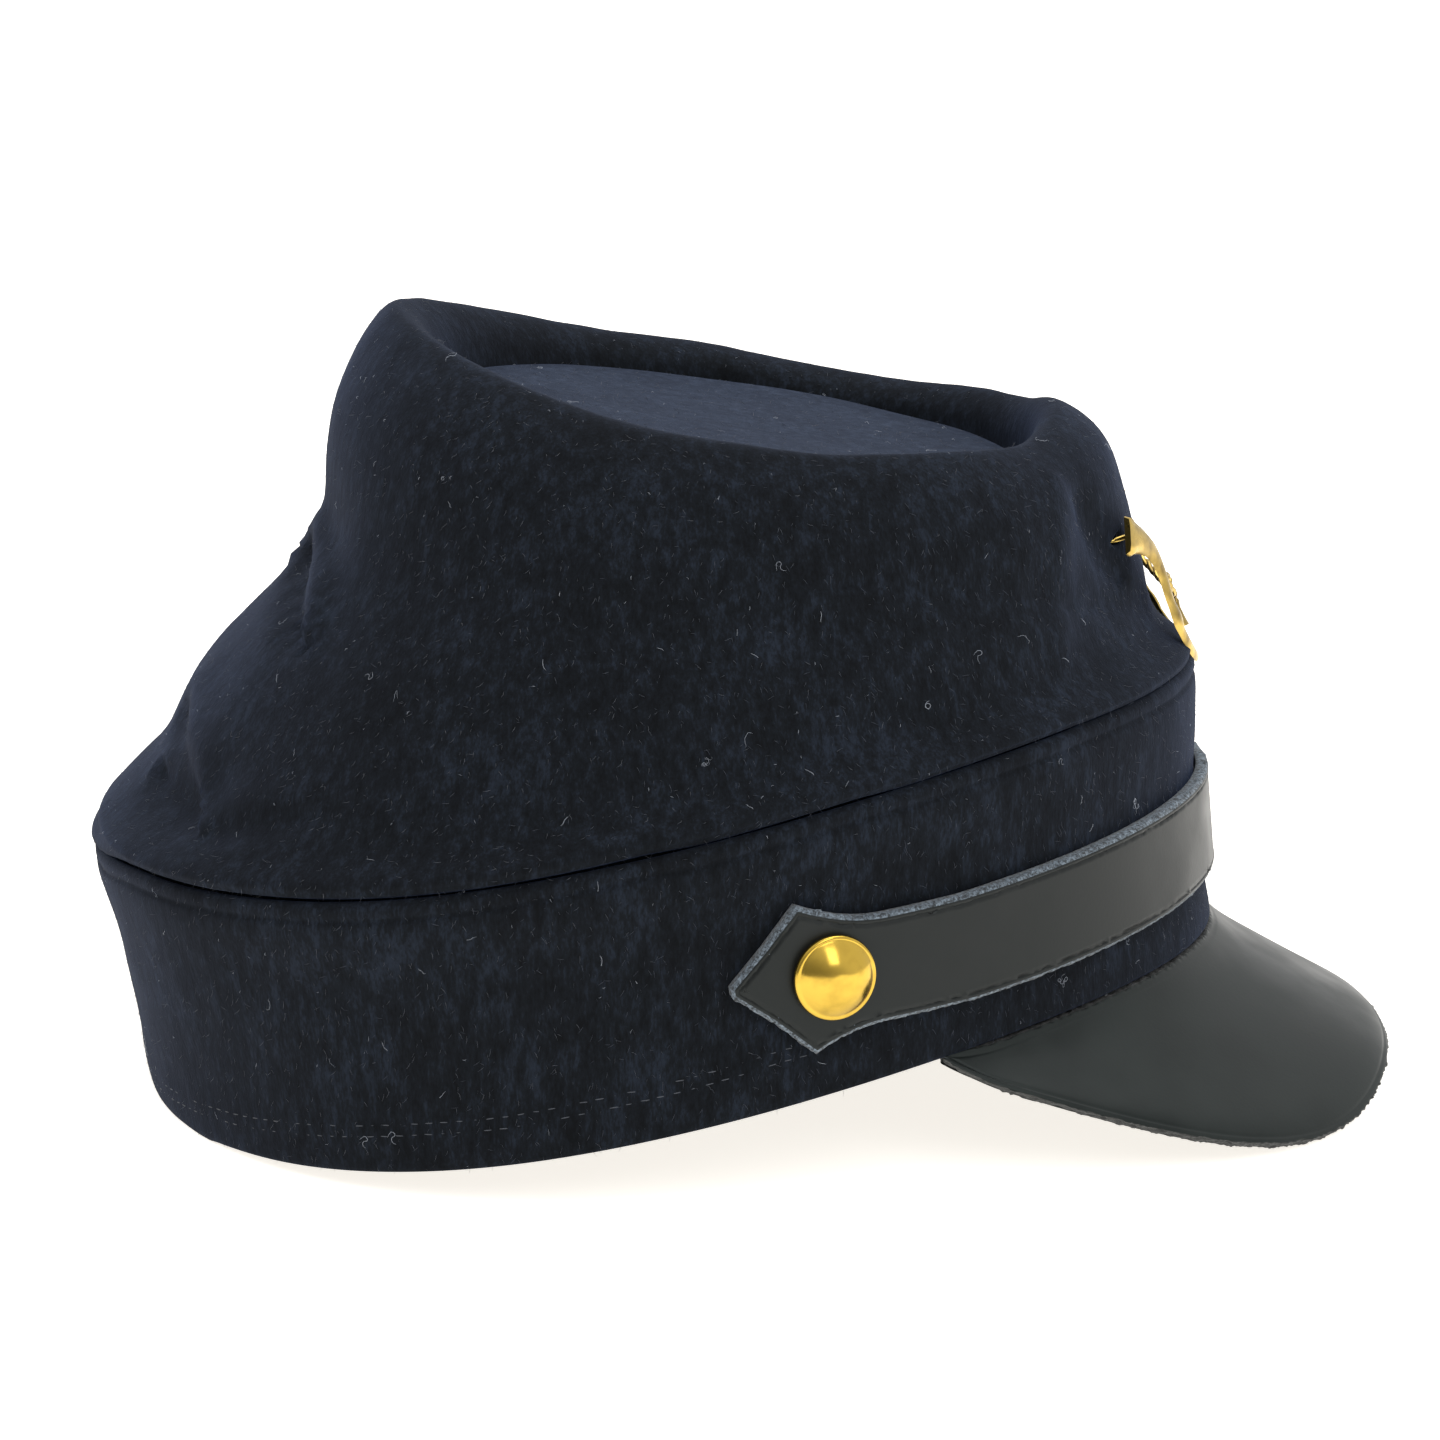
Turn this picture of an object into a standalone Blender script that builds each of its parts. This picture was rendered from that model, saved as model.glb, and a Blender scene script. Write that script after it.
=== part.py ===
"""A wool kepi cap with a sunken crown top, a leather peak and chin strap, and brass fittings.

Lengths are in metres. The cap is drawn level, facing +X with its wearer's left at +Y, and then
tips back on its peak, the way it stands on a table. Angles round the cap start at the front.
"""

import bmesh
import bpy
from math import cos, degrees, exp, pi, radians, sin
from mathutils import Matrix, Vector

# Sizes of the band, the tall strip of cloth round the head
BAND_LENGTH = 0.205
BAND_WIDTH = 0.185
BAND_HEIGHT = 0.051
BAND_WALL = 0.0025
BAND_FLARE = 0.002
BAND_PINCH = 0.0028
HEM_SAG = 0.0012
SEAM_SAG = 0.002
EDGE_WAVE = 0.006
EGG_SHARE = 0.12

# Sizes of the crown, the collapsed side of the cap with its rolled rim
CROWN_RISE_BACK = 0.0858
CROWN_RISE_FRONT = 0.0500
CROWN_WALL = 0.002
RIM_LENGTH = 0.118
RIM_WIDTH = 0.118
RIM_FORWARD = 0.0255
RIM_SAG = 0.0085
FOLD_DEPTH = 0.004
TUCK_DEPTH = 0.006

# Sizes of the flat top, a stiff round sunk inside the rim
TOP_LENGTH = 0.103
TOP_WIDTH = 0.098
TOP_THICKNESS = 0.0022
TOP_FORWARD = 0.0260
TOP_SUNK = 0.0130
TOP_COLLAR = 0.0006

# Sizes of the peak. Its front turn is in degrees, from the middle to where the corners start.
PEAK_START = 0.045
PEAK_REACH = 0.0285
PEAK_FLARE = 0.0012
PEAK_DROP = 0.027
PEAK_CORNER_DROP = 0.0098
PEAK_SQUARENESS = 2.3
PEAK_FRONT_TURN = 25
PEAK_CROWNING = 0.0022
PEAK_THICKNESS = 0.0024
PEAK_FLANGE = 0.008

# Sizes of the chin strap, the buttons and their posts
STRAP_WIDTH = 0.019
STRAP_HEIGHT = 0.0206
STRAP_THICKNESS = 0.0025
STRAP_END_WIDTH = 0.0268
STRAP_POINT = 0.0130
STRAP_SHOULDER = 0.015
STRAP_TIP_SHARE = 0.06
STRAP_END_LIFT = 0.0027
STRAP_LIFT_REACH = 0.045
STRAP_EDGE = 0.0003
BUTTON_DIAMETER = 0.0152
BUTTON_HEIGHT = 0.0045
BUTTON_BACKSET = 0.0171
BUTTON_FORWARD = 0.0274
POST_DIAMETER = 0.003
POST_HEAD_DIAMETER = 0.007
POST_HEAD_THICKNESS = 0.0008

# Sizes of the horn badge
BADGE_HEIGHT = 0.036
BADGE_WIDTH = 0.049
BADGE_THICKNESS = 0.0018
BADGE_BEND_RADIUS = 0.048
BADGE_BASE_HEIGHT = 0.0460
BADGE_LEAN = radians(9.5)
BADGE_STANDOFF = 0.0007
BADGE_PIN_DIAMETER = 0.0012
BADGE_PIN_REACH = 0.0095
BADGE_PIN_ROOT = 0.0005

# How the pieces meet and how finely they are drawn
GAP = 0.0003
HOLE_CLEARANCE = 0.0003
FLANGE_CLEARANCE = 0.0008
CLOTH_PRESS = 0.0006
AROUND = 54
STRAP_STEPS = 17
SHOULDER_STEPS = 4
POINT_STEPS = 5
MEASURE_STEPS = 400
PEAK_STEPS = 30
BUTTON_SIDES = 24
POST_SIDES = 10
PIN_SIDES = 8

# Rows up the band: share of its height, share of the flare, share of the pinch at the front
BAND_ROWS = [
    {"up": 0.00, "out": -0.30, "pinch": 0.4},
    {"up": 0.03, "out": 0.00, "pinch": 0.5},
    {"up": 0.30, "out": 0.25, "pinch": 1.0},
    {"up": 0.55, "out": 0.45, "pinch": 0.8},
    {"up": 0.70, "out": 0.65, "pinch": 0.3},
    {"up": 0.80, "out": 1.10, "pinch": 0.4},
    {"up": 0.88, "out": 1.45, "pinch": 0.5},
    {"up": 0.94, "out": 1.30, "pinch": 0.4},
    {"up": 0.98, "out": 0.85, "pinch": 0.3},
    {"up": 1.00, "out": 0.35, "pinch": 0.2},
]

# Rows up the crown from the band's seam to the top of the rim. "up" is a share of the local rise
# and "out" a share of the run from the rim out to the seam, at the back, the side and the front.
CROWN_ROWS = [
    {"up": (0.010, 0.014, 0.014), "out": (0.985, 0.945, 0.900)},
    {"up": (0.034, 0.045, 0.045), "out": (0.975, 0.950, 0.860)},
    {"up": (0.085, 0.110, 0.110), "out": (0.900, 0.905, 0.770)},
    {"up": (0.140, 0.190, 0.200), "out": (0.800, 0.850, 0.700)},
    {"up": (0.215, 0.280, 0.310), "out": (0.740, 0.785, 0.680)},
    {"up": (0.300, 0.370, 0.410), "out": (0.665, 0.715, 0.670)},
    {"up": (0.390, 0.460, 0.510), "out": (0.520, 0.640, 0.640)},
    {"up": (0.470, 0.550, 0.600), "out": (0.395, 0.565, 0.610)},
    {"up": (0.535, 0.630, 0.680), "out": (0.305, 0.495, 0.580)},
    {"up": (0.610, 0.710, 0.750), "out": (0.262, 0.430, 0.555)},
    {"up": (0.730, 0.800, 0.820), "out": (0.242, 0.355, 0.505)},
    {"up": (0.840, 0.880, 0.890), "out": (0.200, 0.275, 0.415)},
    {"up": (0.930, 0.950, 0.950), "out": (0.115, 0.170, 0.255)},
    {"up": (0.985, 0.990, 0.990), "out": (0.045, 0.070, 0.090)},
    {"up": (1.000, 1.000, 1.000), "out": (0.000, 0.000, 0.000)},
]

# Rows from the top of the rim in and down to the collar that holds the flat top
RIM_ROWS = [
    {"into": 0.30, "down": 0.06},
    {"into": 0.62, "down": 0.22},
    {"into": 0.86, "down": 0.48},
    {"into": 0.97, "down": 0.74},
    {"into": 1.00, "down": 1.00},
]

# Folds pressed into the crown: where each sits round the cap and up the crown, its reach each
# way, how far it leans round the cap as it rises, and its depth as a share of FOLD_DEPTH.
CROWN_FOLDS = [
    {"fold": "badge hollow", "around": -27, "up": 0.42, "wide": 11, "tall": 0.22, "lean": -10, "deep": 0.80},
    {"fold": "badge hollow", "around": 27, "up": 0.42, "wide": 11, "tall": 0.20, "lean": 10, "deep": 0.70},
    {"fold": "front corner", "around": -43, "up": 0.55, "wide": 9, "tall": 0.35, "lean": 0, "deep": -0.45},
    {"fold": "front corner", "around": 44, "up": 0.52, "wide": 9, "tall": 0.32, "lean": 0, "deep": -0.40},
    {"fold": "side trough", "around": -72, "up": 0.50, "wide": 26, "tall": 0.10, "lean": -60, "deep": 0.28},
    {"fold": "side trough", "around": 80, "up": 0.46, "wide": 28, "tall": 0.12, "lean": 50, "deep": 0.30},
    {"fold": "back dimple", "around": -154, "up": 0.100, "wide": 8, "tall": 0.06, "lean": 40, "deep": 1.30},
    {"fold": "back dimple", "around": 150, "up": 0.13, "wide": 10, "tall": 0.07, "lean": -30, "deep": 1.10},
    {"fold": "back ridge", "around": -150, "up": 0.20, "wide": 8, "tall": 0.12, "lean": -90, "deep": -0.55},
    {"fold": "back ridge", "around": 152, "up": 0.22, "wide": 8, "tall": 0.12, "lean": 70, "deep": -0.50},
    {"fold": "waist crease", "around": -158, "up": 0.57, "wide": 9, "tall": 0.05, "lean": 0, "deep": 0.50},
    {"fold": "waist crease", "around": 156, "up": 0.58, "wide": 10, "tall": 0.06, "lean": 0, "deep": 0.45},
]

# Waves in the height of the rim: where each peaks round the cap, its reach and a share of RIM_SAG
RIM_WAVES = [
    {"around": 52, "wide": 20, "rise": -0.22},
    {"around": 22, "wide": 12, "rise": -0.28},
    {"around": 95, "wide": 18, "rise": 0.18},
    {"around": -30, "wide": 18, "rise": -0.32},
]

# Rows of a button's face, from its rolled rim in: shares of its radius and of its height
BUTTON_ROWS = [
    {"radius": 0.90, "up": 0.00},
    {"radius": 1.00, "up": 0.20},
    {"radius": 1.00, "up": 0.30},
    {"radius": 0.93, "up": 0.38},
    {"radius": 0.78, "up": 0.58},
    {"radius": 0.55, "up": 0.80},
    {"radius": 0.28, "up": 0.95},
]

# Rows out across the peak: how far the leather stands above or below a straight slope
PEAK_ROWS = [
    {"along": 0.15, "rise": -0.90},
    {"along": 0.36, "rise": -0.45},
    {"along": 0.60, "rise": 0.00},
    {"along": 0.80, "rise": 0.55},
    {"along": 0.93, "rise": 0.75},
    {"along": 1.00, "rise": 0.00},
]

# The horn's tube, from bell to mouthpiece: share of the way along, width and height shares
HORN_ROWS = [
    {"across": -0.910, "up": 0.961, "width": 1.00, "height": 1.00},
    {"across": -0.815, "up": 0.907, "width": 0.84, "height": 0.95},
    {"across": -0.676, "up": 0.814, "width": 0.62, "height": 0.85},
    {"across": -0.552, "up": 0.643, "width": 0.50, "height": 0.80},
    {"across": -0.527, "up": 0.427, "width": 0.45, "height": 0.76},
    {"across": -0.517, "up": 0.391, "width": 0.54, "height": 0.90},
    {"across": -0.490, "up": 0.321, "width": 0.54, "height": 0.90},
    {"across": -0.469, "up": 0.288, "width": 0.43, "height": 0.75},
    {"across": -0.221, "up": 0.121, "width": 0.39, "height": 0.72},
    {"across": 0.123, "up": 0.077, "width": 0.35, "height": 0.70},
    {"across": 0.461, "up": 0.143, "width": 0.31, "height": 0.66},
    {"across": 0.662, "up": 0.259, "width": 0.28, "height": 0.62},
    {"across": 0.694, "up": 0.288, "width": 0.37, "height": 0.78},
    {"across": 0.750, "up": 0.349, "width": 0.37, "height": 0.78},
    {"across": 0.774, "up": 0.382, "width": 0.26, "height": 0.60},
    {"across": 0.840, "up": 0.629, "width": 0.21, "height": 0.55},
    {"across": 0.761, "up": 0.838, "width": 0.18, "height": 0.50},
    {"across": 0.729, "up": 0.881, "width": 0.30, "height": 0.62},
    {"across": 0.678, "up": 0.944, "width": 0.34, "height": 0.66},
]
HORN_BELL_WIDTH = 0.0095

# The row of the horn behind which each pin sits, on the right (-1) and the left (1)
BADGE_PIN_ROWS = {-1: 1, 1: 15}

# The cord from which the horn hangs, in shares of the badge's half width and height
CORD_POINTS = [
    (-0.58, 0.64), (-0.38, 0.50), (-0.18, 0.45), (0.0, 0.52), (0.20, 0.44), (0.52, 0.48), (0.86, 0.62)
]
TASSEL_POINTS = [(0.03, 0.50), (0.14, 0.40), (0.17, 0.24)]
CORD_DIAMETER = 0.0024
TASSEL_DIAMETER = 0.0055


def clear_scene():
    """Empties the startup scene."""
    for old in list(bpy.data.objects):
        bpy.data.objects.remove(old)


def finish(name, colour, roughness, metallic=0.0):
    """A Principled BSDF material."""
    material = bpy.data.materials.new(name)
    material.use_nodes = True
    shader = material.node_tree.nodes["Principled BSDF"]
    shader.inputs["Base Color"].default_value = (*colour, 1.0)
    shader.inputs["Roughness"].default_value = roughness
    shader.inputs["Metallic"].default_value = metallic
    return material


def add_piece(name, mesh_data, material, parent=None):
    """Links a bmesh into the scene as a named, smooth-shaded object, and frees it."""
    mesh = bpy.data.meshes.new(name)
    mesh_data.to_mesh(mesh)
    mesh_data.free()
    mesh.materials.append(material)
    mesh.shade_smooth()
    piece = bpy.data.objects.new(name, mesh)
    bpy.context.scene.collection.objects.link(piece)
    piece.parent = parent
    return piece


def skin(rings, closed_round=True):
    """A bmesh sheet through rows of points, each row as long as the last."""
    sheet = bmesh.new()
    rows = [[sheet.verts.new(point) for point in ring] for ring in rings]
    count = len(rows[0])
    for lower, upper in zip(rows, rows[1:]):
        for i in range(count if closed_round else count - 1):
            j = (i + 1) % count
            sheet.faces.new((lower[i], lower[j], upper[j], upper[i]))
    return sheet


def capped(rings):
    """A closed bmesh tube through rings of points, with flat ends and its faces outward."""
    tube = skin(rings)
    tube.verts.ensure_lookup_table()
    count = len(rings[0])
    tube.faces.new(list(reversed(tube.verts[:count])))
    tube.faces.new(tube.verts[-count:])
    bmesh.ops.recalc_face_normals(tube, faces=tube.faces[:])
    return tube


def thicken(piece, thickness, inward=True):
    """Gives a sheet its wall, on its inner side or its outer one."""
    wall = piece.modifiers.new("wall", "SOLIDIFY")
    wall.thickness = thickness
    wall.offset = -1.0 if inward else 1.0
    wall.use_quality_normals = True
    return wall


def soften(piece, width, angle=radians(50)):
    """Rounds a piece's cut edges with one small flat."""
    edge = piece.modifiers.new("edge", "BEVEL")
    edge.width = width
    edge.segments = 1
    edge.angle_limit = angle
    return edge


def bore(piece, cutter):
    """Takes a cutter's shape out of a piece."""
    hole = piece.modifiers.new("hole", "BOOLEAN")
    hole.operation = "DIFFERENCE"
    hole.object = cutter
    return hole


def hide_helper(helper):
    """Marks a cutter, which is no piece of the cap."""
    helper.hide_render = True
    helper.display_type = "WIRE"
    return helper


def round_angles(count=AROUND):
    """Angles right round the cap."""
    return [2 * pi * i / count for i in range(count)]


def oval(angle, half_length, half_width, egg=EGG_SHARE):
    """A point of the head's oval, which is wider towards the back."""
    return half_length * cos(angle), half_width * sin(angle) * (1 - egg * cos(angle))


def interpolate(rows, key, column, at):
    """A column of a table at a value of its key column, straight between rows."""
    if at <= rows[0][key]:
        return rows[0][column]
    for low, high in zip(rows, rows[1:]):
        if at <= high[key]:
            share = (at - low[key]) / (high[key] - low[key])
            return low[column] + share * (high[column] - low[column])
    return rows[-1][column]


def bump(distance, reach):
    """A smooth rise and fall, 1 at its middle and near 0 past twice its reach."""
    return exp(-((distance / reach) ** 2))


def turn_between(angle, middle_degrees):
    """The signed angle in degrees from a middle to an angle, between -180 and 180."""
    return (degrees(angle) - middle_degrees + 180) % 360 - 180


def band_edge(angle, up):
    """How far the band rides up or down from a level line, at a share of its height."""
    sag = HEM_SAG + (SEAM_SAG - HEM_SAG) * up
    return sin(angle) ** 2 * (EDGE_WAVE * cos(angle) - sag)


def band_point(angle, up, inset=0.0):
    """A point of the band's outer face, or a distance inside it."""
    pinch = BAND_PINCH * interpolate(BAND_ROWS, "up", "pinch", up) * max(cos(angle), 0.0) ** 4
    grow = BAND_FLARE * interpolate(BAND_ROWS, "up", "out", up) - pinch - inset
    x, y = oval(angle, BAND_LENGTH / 2 + grow, BAND_WIDTH / 2 + grow)
    return Vector((x, y, BAND_HEIGHT * up + band_edge(angle, up)))


def band_normal(angle, up):
    """The band's outward direction at a point, square to its face."""
    step = 0.01
    round_it = band_point(angle + step, up) - band_point(angle - step, up)
    up_it = band_point(angle, up + step) - band_point(angle, up - step)
    return round_it.cross(up_it).normalized()


def band_angle_at(x, side, up):
    """The angle at which the band's face has a given x, on the left (+1) or the right (-1)."""
    low, high = 0.0, pi
    for _ in range(40):
        middle = (low + high) / 2
        low, high = (middle, high) if band_point(middle, up).x > x else (low, middle)
    return side * low


def rim_height(angle):
    """The height of the rim's top, which falls to the front and sags at the sides."""
    back = BAND_HEIGHT + CROWN_RISE_BACK
    front = BAND_HEIGHT + CROWN_RISE_FRONT
    waves = sum(
        row["rise"] * bump(turn_between(angle, row["around"]), row["wide"]) for row in RIM_WAVES
    )
    level = (front + back) / 2 + (front - back) / 2 * cos(angle)
    return level + RIM_SAG * (waves - sin(angle) ** 2)


def top_height(x):
    """The height of the flat top's upper face, which slopes down to the front."""
    fall = (CROWN_RISE_BACK - CROWN_RISE_FRONT) / RIM_LENGTH
    middle = BAND_HEIGHT + (CROWN_RISE_BACK + CROWN_RISE_FRONT) / 2 - TOP_SUNK
    return middle - fall * (x - TOP_FORWARD)


def by_quarter(angle, values):
    """Blends values for the back, the side and the front by angle."""
    back, side, front = values
    forward = cos(angle)
    return (
        back * min(forward, 0.0) ** 2 + side * sin(angle) ** 2 + front * max(forward, 0.0) ** 2
    )


def fold_depth(angle, up):
    """How far the folds press the crown in at a place."""
    total = 0.0
    for fold in CROWN_FOLDS:
        rise = up - fold["up"]
        turn = turn_between(angle, fold["around"]) - fold["lean"] * rise
        total += fold["deep"] * bump(turn, fold["wide"]) * bump(rise, fold["tall"])
    return FOLD_DEPTH * total


def crown_point(angle, row):
    """A point of the crown's outer face, on one of its rows."""
    seam = band_point(angle, 1.0)
    rim = Vector((RIM_FORWARD + RIM_LENGTH / 2 * cos(angle), RIM_WIDTH / 2 * sin(angle), 0.0))
    up = by_quarter(angle, row["up"])
    out = by_quarter(angle, row["out"])
    point = rim.lerp(Vector((seam.x, seam.y, 0.0)), out)
    outward = Vector((cos(angle) / BAND_LENGTH, sin(angle) / BAND_WIDTH, 0.0)).normalized()
    point -= outward * fold_depth(angle, up)
    point.z = seam.z + up * (rim_height(angle) - seam.z)
    return point


def collar_point(angle, into, down):
    """A point of the crown's face from the rim's top down to the collar round the flat top."""
    spare = GAP + TOP_COLLAR
    half_length, half_width = TOP_LENGTH / 2 + spare, TOP_WIDTH / 2 + spare
    collar = Vector((TOP_FORWARD + half_length * cos(angle), half_width * sin(angle), 0.0))
    rim = Vector((RIM_FORWARD + RIM_LENGTH / 2 * cos(angle), RIM_WIDTH / 2 * sin(angle), 0.0))
    point = rim.lerp(collar, into)
    foot = top_height(collar.x) - TOP_THICKNESS
    point.z = rim_height(angle) + down * (foot - rim_height(angle))
    return point


def make_crown(material, stand):
    """The crown's side: one cloth wall from inside the band over the rim to the flat top."""
    inset = BAND_WALL + GAP
    share = TUCK_DEPTH / BAND_HEIGHT
    angles = round_angles()
    rings = [[band_point(a, 1.0 - share, inset) for a in angles]]
    rings.append([band_point(a, 1.0, inset) + Vector((0, 0, GAP)) for a in angles])
    rings += [[crown_point(a, row) for a in angles] for row in CROWN_ROWS]
    rings += [[collar_point(a, row["into"], row["down"]) for a in angles] for row in RIM_ROWS]
    crown = add_piece("crown", skin(rings), material, stand)
    thicken(crown, CROWN_WALL)
    return crown


def make_top(material, stand):
    """The flat stiffened top, a slightly rounded oval plate."""
    def ring(shrink, drop):
        half_length, half_width = TOP_LENGTH / 2 - shrink, TOP_WIDTH / 2 - shrink
        points = []
        for angle in round_angles():
            x = TOP_FORWARD + half_length * cos(angle)
            points.append((x, half_width * sin(angle), top_height(x) - drop))
        return points

    edge = TOP_THICKNESS / 4
    rings = [ring(edge, TOP_THICKNESS), ring(0.0, TOP_THICKNESS - edge), ring(0.0, edge), ring(edge, 0.0)]
    return add_piece("crown_top", capped(rings), material, stand)


def make_band(material, stand):
    """The band: a tall cloth wall with a turned hem below and a welt at its top."""
    rings = [[band_point(a, row["up"]) for a in round_angles()] for row in BAND_ROWS]
    band = add_piece("band", skin(rings), material, stand)
    thicken(band, BAND_WALL)
    return band


def peak_end_angle():
    """The angle at which the peak starts on the band's lower edge."""
    return band_angle_at(PEAK_START, 1, 0.0)


def peak_edge(across):
    """A point of the peak's free edge, from -1 at the right end to 1 at the left."""
    half_width = band_point(peak_end_angle(), 0.0).y + PEAK_FLARE
    reach = BAND_LENGTH / 2 + PEAK_REACH - PEAK_START
    turn = abs(across) * pi / 2
    forward = max(cos(turn), 0.0) ** (2 / PEAK_SQUARENESS)
    sideways = sin(turn) ** (2 / PEAK_SQUARENESS)
    corner = sin(2 * turn) * (1 - bump(degrees(turn), PEAK_FRONT_TURN))
    drop = PEAK_DROP * forward + PEAK_CORNER_DROP * corner
    side = 1 if across > 0 else -1
    return Vector((PEAK_START + reach * forward, side * half_width * sideways, -GAP - drop))


def make_peak(material, stand):
    """The leather peak, with the flange that is sewn up inside the band."""
    inner_inset = BAND_WALL + FLANGE_CLEARANCE
    flange_share = PEAK_FLANGE / BAND_HEIGHT
    hem_share = BAND_ROWS[1]["up"]
    below = Vector((0, 0, -GAP))
    rows = []
    for i in range(PEAK_STEPS + 1):
        across = 2 * i / PEAK_STEPS - 1
        angle = across * peak_end_angle()
        root = band_point(angle, 0.0) + below
        edge = peak_edge(across)
        row = [
            band_point(angle, flange_share, inner_inset),
            band_point(angle, hem_share, inner_inset),
            band_point(angle, 0.0, inner_inset) + below,
            root,
        ]
        reach = (edge - root).length / (PEAK_REACH + PEAK_DROP)
        for section in PEAK_ROWS:
            point = root.lerp(edge, section["along"])
            point.z += PEAK_CROWNING * section["rise"] * reach
            row.append(point)
        rows.append(row)
    rings = [list(ring) for ring in zip(*rows)]
    peak = add_piece("peak", skin(rings, closed_round=False), material, stand)
    thicken(peak, PEAK_THICKNESS, inward=False)
    return peak


def strap_half_width(from_tip):
    """Half the strap's width at a distance from its pointed end."""
    if from_tip < STRAP_POINT:
        return STRAP_END_WIDTH / 2 * max(from_tip / STRAP_POINT, STRAP_TIP_SHARE)
    ease = min((from_tip - STRAP_POINT) / STRAP_SHOULDER, 1.0)
    flare = (STRAP_END_WIDTH - STRAP_WIDTH) / 2
    return STRAP_WIDTH / 2 + flare * (1 - ease) ** 2


def strap_middle(from_tip):
    """The height of the strap's middle line over the hem at a distance from its pointed end."""
    share = max(1.0 - from_tip / STRAP_LIFT_REACH, 0.0)
    return STRAP_HEIGHT + STRAP_END_LIFT * share * share * (3.0 - 2.0 * share)


def strap_angles():
    """Angles along the strap from tip to tip, each with its distance from the nearer tip."""
    middle = STRAP_HEIGHT / BAND_HEIGHT
    end = band_angle_at(BUTTON_FORWARD - BUTTON_BACKSET, 1, middle)
    places = [band_point(end * i / MEASURE_STEPS, middle) for i in range(MEASURE_STEPS + 1)]
    run = [0.0]
    for before, after in zip(places, places[1:]):
        run.append(run[-1] + (after - before).length)
    half = run[-1]
    shoulder = half - STRAP_POINT - STRAP_SHOULDER
    stops = [shoulder * i / STRAP_STEPS for i in range(STRAP_STEPS)]
    stops += [shoulder + STRAP_SHOULDER * i / SHOULDER_STEPS for i in range(SHOULDER_STEPS)]
    stops += [half - STRAP_POINT * (1 - i / POINT_STEPS) for i in range(POINT_STEPS + 1)]
    left = []
    for stop in stops:
        i = min(range(MEASURE_STEPS + 1), key=lambda k: abs(run[k] - stop))
        left.append((end * i / MEASURE_STEPS, half - run[i]))
    return [(-angle, rest) for angle, rest in reversed(left[1:])] + left


def make_strap(material, stand):
    """The leather chin strap, laid round the front of the band from button to button."""
    columns = []
    for angle, from_tip in strap_angles():
        half = strap_half_width(from_tip)
        column = []
        for share in (-1.0, 0.0, 1.0):
            up = (strap_middle(from_tip) + half * share) / BAND_HEIGHT
            column.append(band_point(angle, up, inset=-GAP))
        columns.append(column)
    rings = [list(ring) for ring in zip(*columns)]
    strap = add_piece("chin_strap", skin(rings, closed_round=False), material, stand)
    thicken(strap, STRAP_THICKNESS, inward=False)
    soften(strap, STRAP_EDGE)
    return strap


def button_seat(side):
    """Where a button's post crosses the strap's outer face, and the way the button faces."""
    up = strap_middle(BUTTON_BACKSET) / BAND_HEIGHT
    angle = band_angle_at(BUTTON_FORWARD, side, up)
    facing = band_normal(angle, up)
    return band_point(angle, up) + facing * (GAP + STRAP_THICKNESS), facing


def turned(profile, sides, place, facing):
    """A closed turned bmesh: rings of (radius, height) set square to a direction."""
    turn = facing.to_track_quat("Z", "Y").to_matrix().to_4x4()
    to_place = Matrix.Translation(place) @ turn
    rings = []
    for radius, height in profile:
        ring = []
        for i in range(sides):
            angle = 2 * pi * i / sides
            ring.append(to_place @ Vector((radius * cos(angle), radius * sin(angle), height)))
        rings.append(ring)
    return capped(rings)


def make_button(name, side, material, stand):
    """A domed brass button, with its post through strap and band and the head that holds it."""
    seat, facing = button_seat(side)
    post = POST_DIAMETER / 2
    through = GAP + STRAP_THICKNESS + BAND_WALL + GAP
    profile = [
        (POST_HEAD_DIAMETER / 2, -through - POST_HEAD_THICKNESS),
        (POST_HEAD_DIAMETER / 2, -through),
        (post, -through),
        (post, GAP),
    ]
    for row in BUTTON_ROWS:
        profile.append((BUTTON_DIAMETER / 2 * row["radius"], GAP + BUTTON_HEIGHT * row["up"]))
    return add_piece(name, turned(profile, BUTTON_SIDES, seat, facing), material, stand)


def make_button_hole(name, side, stand):
    """The hole that a button's post needs through the strap and the band."""
    seat, facing = button_seat(side)
    reach = 2 * (STRAP_THICKNESS + BAND_WALL)
    radius = POST_DIAMETER / 2 + HOLE_CLEARANCE
    cutter = turned([(radius, -reach), (radius, reach)], POST_SIDES, seat, facing)
    return hide_helper(add_piece(name, cutter, finish(name, (1, 0, 0), 1.0), stand))


def badge_to_cap(sideways, up, out):
    """A place on the flat badge, carried to where the bent and leaning badge sits."""
    lean_up = Vector((-sin(BADGE_LEAN), 0, cos(BADGE_LEAN)))
    lean_out = Vector((cos(BADGE_LEAN), 0, sin(BADGE_LEAN)))
    foot_x = band_point(0.0, BADGE_BASE_HEIGHT / BAND_HEIGHT).x + BADGE_STANDOFF
    foot = Vector((foot_x, 0.0, BADGE_BASE_HEIGHT))
    bend = sideways / BADGE_BEND_RADIUS
    depth = BADGE_BEND_RADIUS * (1 - cos(bend))
    return (
        foot
        + lean_up * up
        + lean_out * (out * cos(bend) - depth)
        + Vector((0, (BADGE_BEND_RADIUS + out) * sin(bend), 0))
    )


def badge_tube(stations):
    """A closed tube on the badge, flat behind and rounded in front.

    Each station has a place, a direction, a width and a height.
    """
    profile = [(1.0, 0.0), (0.82, 0.55), (0.42, 0.92), (-0.42, 0.92), (-0.82, 0.55), (-1.0, 0.0)]
    rings = []
    for (sideways, up), (along_x, along_y), width, height in stations:
        ring = []
        for across, out in profile:
            shift = across * width / 2
            ring.append(badge_to_cap(sideways - along_y * shift, up + along_x * shift, out * height))
        rings.append(ring)
    return capped(rings)


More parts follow.
